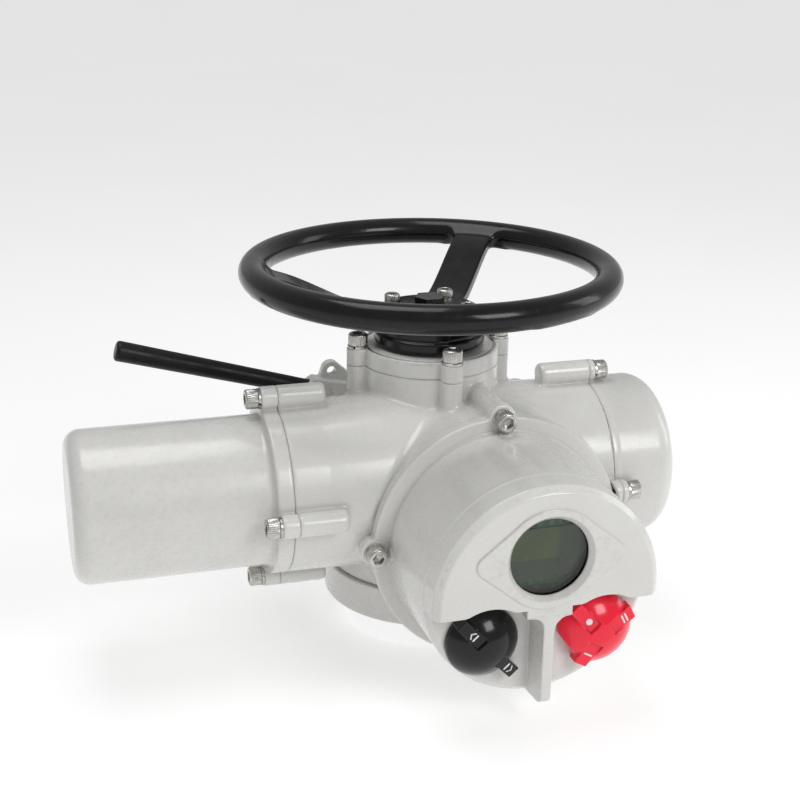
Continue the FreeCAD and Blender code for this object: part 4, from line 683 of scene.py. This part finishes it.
def rib(p):
    """The rib between the knobs, thicker at its root, with a rounded lower corner."""
    half = np.interp(p[:, Y], (HOOD_Y, PANEL_Y), (RIB_FRONT, RIB_ROOT))
    side = np.abs(p[:, X] - CONTROL_X) - half
    profile = rounded(HOOD_Y - p[:, Y], RIB_BOTTOM - p[:, Z], 7.0)
    ends = np.maximum(p[:, Y] - PANEL_Y - 3.0, p[:, Z] - HOOD_NECK_Z - 4.0)
    return np.maximum(rounded(side, profile, 0.8), ends)


def flare(side, r):
    """The hollow corner between the rib and the hood's underside."""
    far = CONTROL_X + side * (RIB_FRONT + r)
    bottom = HOOD_NECK_Z - r

    def outline(x, z):
        block = np.maximum((CONTROL_X - x) * side, (x - far) * side)
        block = np.maximum(block, np.maximum(bottom - z, z - HOOD_NECK_Z - 1.0))
        return np.maximum(block, r - np.hypot(x - far, z - bottom))

    return plate(outline, Y, HOOD_Y, PANEL_Y + 1.0, 0.8)


def witness_marks():
    """Two low round moulding marks on the drum, at its left and its top, close to the flange."""
    reach = DRUM_ROOT_R + 1.1
    return [cyl(X, (0, -118.0, DRUM[2]), 4.5, DRUM[0] - reach, DRUM[0] - 84.0, 0.7),
            cyl(Z, (DRUM[0], -118.0, 0), 4.5, DRUM[2] + 84.0, DRUM[2] + reach, 0.7)]


def control_cover():
    flange = join(2.0, cyl(Y, DRUM, DRUM_FLANGE_R, DRUM_FLANGE_Y, NECK_FRONT, 1.5),
                  *[cyl(Y, c, LUG_R + 1.5, DRUM_FLANGE_Y, NECK_FRONT, 1.5) for c in drum_lugs()])
    stations = [(PANEL_Y, PANEL_R - 4.0), (PANEL_Y + 4.0, PANEL_R), (DRUM_FLANGE_Y, DRUM_ROOT_R)]
    drum = cyl(Y, DRUM, stations, PANEL_Y, DRUM_FLANGE_Y + 2.0, 0.8)
    bevel = cyl(Y, DRUM, [(HOOD_Y, PANEL_R - HOOD_BEVEL), (HOOD_Y + HOOD_BEVEL, PANEL_R), (-100.0, PANEL_R)],
                HOOD_Y, -100.0, 0.8)
    visor = common(0.8, hood(0.0, HOOD_Y, PANEL_Y + 6.0), bevel)
    tip = 57.5 - 9.0
    eyes = [plate(strap((DRUM[0], WINDOW_Z), 39.5, (DRUM[0] + side * tip, WINDOW_Z), 9.0), Y, HOOD_Y - 0.9,
                  HOOD_Y + 2.0, 0.5) for side in (-1, 1)]
    body = join(1.6, join(2.2, flange, drum), visor, rib, *[flare(side, r) for side, r in FLARES],
                *witness_marks())
    body = join(0.6, body, *eyes)
    throat = (DRUM[0], 0.0, WINDOW_Z)
    bevel_end = HOOD_Y + 3.5
    bevel = ((HOOD_Y - 0.9, WINDOW_R + 3.0), (bevel_end, WINDOW_R - 0.5), (-190.0, WINDOW_R - 0.5))
    window = cyl(Y, throat, bevel, -230.0, -205.0)
    tools = [cyl(Y, DRUM, PANEL_R - 5.5, -190.0, -90.0, 2.0), hood(5.0, HOOD_Y + 5.0, -188.0), window]
    return less(0.6, body, *tools, *bores("control_cover_screws"))


def spoke(deg):
    """A flat spoke of even thickness that rises in a gentle S from the hub to the rim."""
    c, s = math.cos(math.radians(deg)), math.sin(math.radians(deg))
    (foot_u, foot_z), (crest_u, crest_z) = SPOKE_FOOT, SPOKE_CREST
    flare_start, flare_r = 123.35, 13.0
    span, rise = crest_u - foot_u, crest_z - foot_z

    def field(p):
        u = p[:, 0] * c + p[:, 1] * s
        v = np.abs(p[:, 1] * c - p[:, 0] * s)
        t = np.clip((u - foot_u) / span, 0.0, 1.0)
        lean = np.hypot(1.0, rise / span * 6.0 * t * (1.0 - t))
        up = np.abs(p[:, 2] - foot_z - rise * t * t * (3.0 - 2.0 * t)) / lean
        widening = flare_r - np.sqrt(flare_r ** 2 - np.clip(u - flare_start, 0.0, flare_r) ** 2)
        bar = rounded(v - SPOKE_HALF_W - widening, up - SPOKE_HALF_T, 2.2) * 0.9
        return np.maximum(bar, np.maximum(30.0 - u, u - RIM_R))

    return field


def handwheel():
    def rim(p):
        return np.hypot(np.hypot(p[:, 0], p[:, 1]) - RIM_R, p[:, 2] - RIM_Z) - RIM_TUBE

    hub = join(2.0, cyl(Z, (0, 0, 0), HUB_R, HUB_BOTTOM, HUB_BOTTOM + 9.0, 1.6),
               cyl(Z, (0, 0, 0), HUB_R - 3.0, HUB_BOTTOM, HUB_TOP, 2.4))
    body = join(7.0, hub, rim, *[spoke(a) for a in SPOKE_ANGLES])
    tools = [cyl(Z, (0, 0, 0), 26.0, 200.0, HUB_TOP - 8.0), cyl(Z, (0, 0, 0), 22.0, 230.0, 270.0)]
    for angle in HUB_BOLT_ANGLES:
        x, y = polar(HUB_BOLT_R, angle)
        tools.append(cyl(Z, (x, y, 0), 4.0, HUB_TOP - 18.0, 260.0))
        tools.append(cyl(Z, (x, y, 0), 7.1, HUB_TOP, 262.0))
    return less(0.6, body, *tools)


def clutch_lever():
    pivot, root = (LEVER_PIVOT[0], LEVER_PIVOT[2]), (ROD_ROOT[0], ROD_ROOT[2])
    arm_outline = strap(pivot, LEVER_HUB_R, root, ROD_SOCKET_R)
    ear_outline = strap((-62.0, 160.0), 19.0, EAR_TIP, EAR_TIP_R)
    arm = plate(arm_outline, Y, LEVER_Y - LEVER_HALF_T, LEVER_Y + LEVER_HALF_T, 2.0)
    ear = plate(ear_outline, Y, LEVER_Y - EAR_HALF_T, LEVER_Y + EAR_HALF_T, 1.5)
    way = np.array(ROD_TIP) - np.array(ROD_ROOT)
    way = way / np.linalg.norm(way)
    back, front = np.array(ROD_ROOT) - way * 22.0, np.array(ROD_ROOT) + way * 60.0
    tools = [
        rod(back, front, ROD_ROOT_R, ROD_ROOT_R),
        cyl(Y, (EAR_TIP[0], 0, EAR_TIP[1]), EAR_HOLE_R, 40.0, 100.0),
        cyl(Y, LEVER_PIVOT, LEVER_SHAFT_R, 40.0, 100.0),
        cyl(Y, (-98.5, 0, 189.0), 22.0, 40.0, 100.0),
    ]
    return less(0.8, join(3.0, arm, ear), *tools)


def knob(index, r, plates, half_w, flats):
    """A shallow dome on a skirt, with flat sloping plates laid on it and flats cut from its rim."""
    cx, _, cz = knob_places()[index]
    back = PANEL_Y - KNOB_GAP
    cap = KNOB_H - KNOB_SKIRT
    dome_r = (r * r + cap * cap) / (2.0 * cap)

    def field(p):
        h = back - p[:, Y]
        x, z = p[:, X] - cx, p[:, Z] - cz
        dome = np.sqrt(x * x + z * z + (h - KNOB_H + dome_r) ** 2) - dome_r
        d = rounded(rounded(dome, np.hypot(x, z) - r, 1.0), -h, 0.4)
        for deg, offset in flats:
            c, s = math.cos(math.radians(deg)), math.sin(math.radians(deg))
            d = -blend_min(-d, offset - x * c - z * s, 0.8)
        for deg, inner, tip in plates:
            c, s = math.cos(math.radians(deg)), math.sin(math.radians(deg))
            u, v = x * c + z * s, np.abs(z * c - x * s)
            above = (h - np.interp(u, (inner[0], tip[0]), (inner[1], tip[1]))) * 0.98
            room = np.maximum(np.maximum(v - half_w, inner[0] - u), -above)
            slab = rounded(rounded(v - half_w, above, 0.6), np.maximum(u - tip[0], inner[0] - u), 0.6)
            d = -blend_min(-d, room, 0.7)
            d = blend_min(d, np.maximum(slab, 2.0 - h), 0.7)
        return d

    spindle = cyl(Y, (cx, 0, cz), 4.05, back - 8.8, back + 2.0)
    head = cyl(Y, (cx, 0, cz), 6.5, back - 12.0, back - 7.5)
    magnet = cyl(Y, (cx + 18.0, 0, cz), 3.0, back - 4.0, back + 2.0)
    return less(0.0, field, spindle, head, magnet)


def black_knob():
    return knob(0, BLACK_KNOB_R, BLACK_PLATES, 5.0, ())


def red_knob():
    return knob(1, RED_KNOB_R, RED_PLATES, 5.6, RED_FLATS)


def window_glass():
    """A thick round glass with a bevelled edge and a very slight crown."""
    front = HOOD_Y + 5.0
    crown = 1400.0

    def field(p):
        r = np.hypot(p[:, X] - DRUM[0], p[:, Z] - WINDOW_Z)
        face = front + r * r / (2.0 * crown) - p[:, Y]
        bevel = (r - 30.0 + front - p[:, Y]) * 0.7071
        return rounded(np.maximum(face, bevel), np.maximum(r - 34.5, p[:, Y] - front - 5.0), 0.2)

    return field


CASTINGS = (
    ("gearcase", gearcase, 1.5, "root", "grey_paint"),
    ("thrust_base", thrust_base, 1.2, "root", "grey_paint"),
    ("top_cover", top_cover, 0.8, "root", "grey_paint"),
    ("motor_cover", motor_cover, 1.3, "root", "grey_paint"),
    ("terminal_cover", terminal_cover, 1.1, "root", "grey_paint"),
    ("control_cover", control_cover, 0.9, "root", "grey_paint"),
    ("handwheel", handwheel, 1.1, "handwheel", "black_enamel"),
    ("clutch_lever", clutch_lever, 0.7, "lever", "grey_paint"),
    ("black_knob", black_knob, 0.45, "black_knob", "black_plastic"),
    ("red_knob", red_knob, 0.45, "red_knob", "red_plastic"),
    ("window_glass", window_glass, 0.5, "root", "window_glass"),
)

for node, maker, step, body, slot in CASTINGS:
    moulded(node + "_casting", node, maker(), step, body, slot, FINISHES[slot])


# ------------------------------------------------------------------ screws and washers
ROUND = 144
FLUTES = 36


def frame_of(axis, sign, turn):
    """Three unit vectors: two across the axis, turned by some degrees, and the outward one."""
    out = np.zeros(3)
    out[axis] = sign
    side = np.zeros(3)
    side[(axis + 1) % 3] = 1.0
    other = np.cross(out, side)
    c, s = math.cos(math.radians(turn)), math.sin(math.radians(turn))
    return np.array((c * side + s * other, c * other - s * side, out))


def screw_rings(head_r, head_h, shank_r, depth, lift):
    """Rings of (radius at each angle, height) from the shank's tip to the bottom of the socket."""
    angles = np.arange(ROUND) * 2.0 * math.pi / ROUND
    plain = np.ones(ROUND)
    fluted = head_r - 0.32 * np.clip(np.cos(angles * FLUTES) + 0.35, 0.0, 1.0)
    sixth = math.pi / 3.0
    hexagon = head_r * 0.5 / np.cos((angles + sixth / 2.0) % sixth - sixth / 2.0)
    top = lift + head_h
    return (
        (plain * (shank_r - 1.0), -depth),
        (plain * shank_r, -depth + 1.0),
        (plain * shank_r, lift),
        (plain * (head_r - 0.6), lift),
        (fluted, lift + 0.5),
        (fluted, top - 1.3),
        (plain * (head_r - 0.35), top - 0.95),
        (plain * (head_r - 0.9), top - 0.25),
        (plain * (head_r - 1.4), top),
        (hexagon + 0.45, top),
        (hexagon, top - 0.4),
        (hexagon, top - head_h * 0.52),
        (plain * 0.6, top - head_h * 0.66),
    )


def ring_quads(k, count):
    """The quads between the rings k and k + 1 of a solid whose rings have count points."""
    here = np.arange(count) + k * count
    ahead = (np.arange(count) + 1) % count + k * count
    return np.stack((here, ahead, ahead + count, here + count), 1)


def turned_solid(rings, seat, axes):
    """Points, quads and the two end faces of a solid made of rings of equal size."""
    count = len(rings[0][0])
    angles = np.arange(count) * 2.0 * math.pi / count
    local = np.concatenate([np.stack((r * np.cos(angles), r * np.sin(angles), np.full(count, h)), 1)
                            for r, h in rings])
    here = np.arange(count)
    quads = [ring_quads(k, count) for k in range(len(rings) - 1)]
    ends = np.stack((here[::-1], (len(rings) - 1) * count + here))
    return np.asarray(seat, float) + local @ axes, np.concatenate(quads), ends


def cap_screws(node, axis, sign, seats, depths, body="root", head=(HEAD_R, HEAD_H), shank=SCREW_R,
               lift=WASHER_T):
    """Knurled socket screws in one piece, each turned its own way as if tightened by hand."""
    points, quads, ends = [], [], []
    start = 0
    for k, (seat, depth) in enumerate(zip(seats, depths)):
        rings = screw_rings(*head, shank, depth, lift)
        p, q, e = turned_solid(rings, seat, frame_of(axis, sign, 17.0 + 137.5 * k))
        points.append(p)
        quads.append(q + start)
        ends.append(e + start)
        start += len(p)
    obj = mesh_object(node + "_turned", np.concatenate(points), np.concatenate(quads), np.concatenate(ends))
    obj.data.set_sharp_from_angle(angle=math.radians(32.0))
    return place(obj, body, "stainless", FINISHES["stainless"], node)


def split_washers(seats):
    """Spring washers: a flat ring cut through at a slant, its edges broken."""
    stations = 60
    section = ((SCREW_R + 0.15, 0.0), (WASHER_R - 0.3, 0.0), (WASHER_R, 0.3), (WASHER_R, WASHER_T - 0.3),
               (WASHER_R - 0.3, WASHER_T), (SCREW_R + 0.15, WASHER_T))
    points, quads, ends = [], [], []
    start = 0
    corners = len(section)
    for k, (seat, axis, sign) in enumerate(seats):
        axes = frame_of(axis, sign, 40.0 + 97.0 * k)
        local = []
        for angle in np.linspace(3.0, 351.0, stations):
            for r, h in section:
                turn = math.radians(angle + 6.0 * h / WASHER_T)
                local.append((r * math.cos(turn), r * math.sin(turn), h))
        points.append(np.asarray(seat, float) + np.array(local) @ axes)
        here = (np.arange(stations - 1) * corners)[:, None] + np.arange(corners)
        ahead = (np.arange(stations - 1) * corners)[:, None] + (np.arange(corners) + 1) % corners
        quads.append(start + np.stack((here, here + corners, ahead + corners, ahead), 2).reshape(-1, 4))
        first = start + np.arange(corners)
        ends.append(np.stack((first, (first + (stations - 1) * corners)[::-1])))
        start += stations * corners
    obj = mesh_object("spring_washers_split", np.concatenate(points), np.concatenate(quads),
                      np.concatenate(ends))
    obj.data.set_sharp_from_angle(angle=math.radians(32.0))
    return place(obj, "root", "stainless", FINISHES["stainless"], "spring_washers")


washer_seats = []
for fixing, axis, sign, seat, centres, depths in FIXINGS:
    seats = []
    for centre in centres:
        at = list(centre)
        at[axis] = seat
        seats.append(at)
        washer_seats.append((at, axis, sign))
    cap_screws(fixing, axis, sign, seats, depths)
split_washers(washer_seats)
cap_screws("handwheel_screws", Z, 1, [(*polar(HUB_BOLT_R, a), HUB_TOP) for a in HUB_BOLT_ANGLES], (18.0,) * 4,
           "handwheel", (6.5, 8.0), 4.0, 0.0)


# ------------------------------------------------------------------ marks on the knobs
def mark(outline, centre, r, z_turn, inner, tip, height=0.22):
    """A thin raised mark lying on a knob's plate; its outline is (across, outward) from radius r."""
    c, s = math.cos(math.radians(z_turn)), math.sin(math.radians(z_turn))
    slope = (tip[1] - inner[1]) / (tip[0] - inner[0])
    along = np.array((c, -slope, s)) / math.hypot(1.0, slope)
    across = np.array((-s, 0.0, c))
    out = np.cross(along, across)
    out = out if out[1] < 0 else -out
    h = inner[1] + slope * (r - inner[0])
    origin = np.array((centre[0] + r * c, PANEL_Y - KNOB_GAP - h, centre[2] + r * s))
    outline = np.array(outline, float)
    middle = outline.mean(axis=0)
    rings = []
    for shrink, lift in ((1.0, -0.15), (1.0, height * 0.6), (0.93, height)):
        flat = middle + (outline - middle) * shrink
        rings.append(origin + flat[:, :1] * across + flat[:, 1:] * along + lift * out)
    return np.concatenate(rings)


def arc(radius, first, last, count, middle=(0.0, 0.0)):
    angles = np.radians(np.linspace(first, last, count))
    return [(middle[0] + radius * math.cos(a), middle[1] + radius * math.sin(a)) for a in angles]


def bar(x0, x1, y0, y1):
    """A bar with round ends, as an outline."""
    r = (y1 - y0) / 2.0
    y = (y0 + y1) / 2.0
    return arc(r, -90.0, 90.0, 9, (x1 - r, y)) + arc(r, 90.0, 270.0, 9, (x0 + r, y))


def chevron(y, reach, thick):
    """A V that points outward, as an outline."""
    return [(-reach, y - reach * 0.7), (0.0, y), (reach, y - reach * 0.7), (reach, y - reach * 0.7 + thick),
            (0.0, y + thick), (-reach, y - reach * 0.7 + thick)]


def knob_marks(name, index, body, marks):
    points, groups = [], {}
    start = 0
    for outline, r, (deg, inner, tip) in marks:
        p = mark(outline, knob_places()[index], r, deg, inner, tip)
        n = len(outline)
        here = np.arange(n)
        for k in range(2):
            groups.setdefault(4, []).append(ring_quads(k, n) + start)
        groups.setdefault(n, []).append(np.stack((here[::-1] + start, here + 2 * n + start)))
        points.append(p)
        start += len(p)
    obj = mesh_object(name, np.concatenate(points), *[np.concatenate(faces) for faces in groups.values()])
    return place(obj, body, None, FINISHES["white_mark"])


knob_marks("black_knob_marks", 0, "black_knob", (
    (chevron(1.2, 3.2, 1.3), 17.0, BLACK_PLATES[0]), (bar(-3.4, 3.4, -3.2, -1.9), 17.0, BLACK_PLATES[0]),
    (bar(-3.4, 3.4, -0.7, 0.7), 25.5, BLACK_PLATES[1]), (chevron(5.2, 3.2, 1.3), 25.5, BLACK_PLATES[1]),
))
knob_marks("red_knob_marks", 1, "red_knob", (
    (bar(-3.8, 3.8, -0.7, 0.7), 20.0, RED_PLATES[0]), (bar(-3.8, 3.8, 2.4, 3.8), 20.0, RED_PLATES[0]),
    (arc(2.6, 0.0, 345.0, 24), 15.5, RED_PLATES[1]),
    (bar(-3.8, 3.8, -0.7, 0.7), 19.5, RED_PLATES[2]),
))


# ------------------------------------------------------------------ camera, floor and lights
def camera():
    """The viewing position: 1.3 m off to the front left, looking slightly down."""
    right = Vector((0.95771, -0.28734, 0.01537))
    up = Vector((0.08271, 0.32607, 0.94172))
    ahead = Vector((0.27561, 0.90062, -0.33605))
    data = bpy.data.cameras.new("camera")
    data.sensor_width = 36.0
    data.lens = 63.42
    obj = bpy.data.objects.new("camera", data)
    turn = Matrix((right, up, -ahead)).transposed().to_4x4()
    obj.matrix_world = Matrix.Translation((-0.35194, -1.07049, 0.57005)) @ turn
    bpy.context.collection.objects.link(obj)
    bpy.context.scene.camera = obj


def area_light(name, where, aim, size, power, colour=(1.0, 1.0, 1.0)):
    data = bpy.data.lights.new(name, "AREA")
    data.shape = "RECTANGLE"
    data.size, data.size_y = size
    data.energy = power
    data.color = colour
    obj = bpy.data.objects.new(name, data)
    obj.location = where
    obj.rotation_mode = "QUATERNION"
    obj.rotation_quaternion = (Vector(aim) - Vector(where)).to_track_quat("-Z", "Y")
    bpy.context.collection.objects.link(obj)


def studio():
    floor_z = cad_low.z - 0.0004
    half = 14.0
    mesh = bpy.data.meshes.new("floor")
    corners = [(x * half, y * half, floor_z) for x, y in ((-1, -1), (1, -1), (1, 1), (-1, 1))]
    mesh.from_pydata(corners, [], [(0, 1, 2, 3)])
    floor = bpy.data.objects.new("floor", mesh)
    bpy.context.collection.objects.link(floor)
    floor.data.materials.append(finish("floor_pale", (0.60, 0.60, 0.60), (0.62, 0.62, 0.62), (0.7, 0.8),
                                       mottle=2.0, grain=60.0, height=1e-5,
                                       Emission_Color=(1.0, 1.0, 1.0, 1.0), Emission_Strength=0.50))
    top = BASE_FACE_Z * MM - 0.0002
    rings = [(np.full(96, r), h) for r, h in ((70.0, floor_z / MM), (70.0, top / MM - 1.0), (69.0, top / MM))]
    points, quads, ends = turned_solid(rings, (0.0, 0.0, 0.0), frame_of(Z, 1, 0.0))
    plinth = mesh_object("plinth", points, quads, ends)
    plinth.data.set_sharp_from_angle(angle=math.radians(32.0))
    plinth.data.materials.append(floor.data.materials[0])
    world = bpy.data.worlds.new("studio")
    world.use_nodes = True
    world.node_tree.nodes["Background"].inputs["Color"].default_value = (1.0, 1.0, 1.0, 1.0)
    world.node_tree.nodes["Background"].inputs["Strength"].default_value = 0.42
    bpy.context.scene.world = world
    area_light("key", (0.7, -1.7, 1.3), (0.0, 0.0, 0.12), (0.8, 0.8), 16.0)
    area_light("top", (-0.3, 0.1, 1.7), (0.0, 0.0, 0.1), (0.9, 0.9), 9.0)
    area_light("side", (1.6, -0.2, 0.7), (0.05, -0.05, 0.12), (0.5, 0.9), 3.5)


camera()
studio()
bpy.context.scene.view_settings.view_transform = "Standard"

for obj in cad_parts.values():
    if obj.hide_render:
        continue
    names = [m.name.split(".")[0] for m in obj.data.materials if m]
    for index, name in enumerate(names):
        if name in FINISHES:
            obj.data.materials[index] = FINISHES[name]
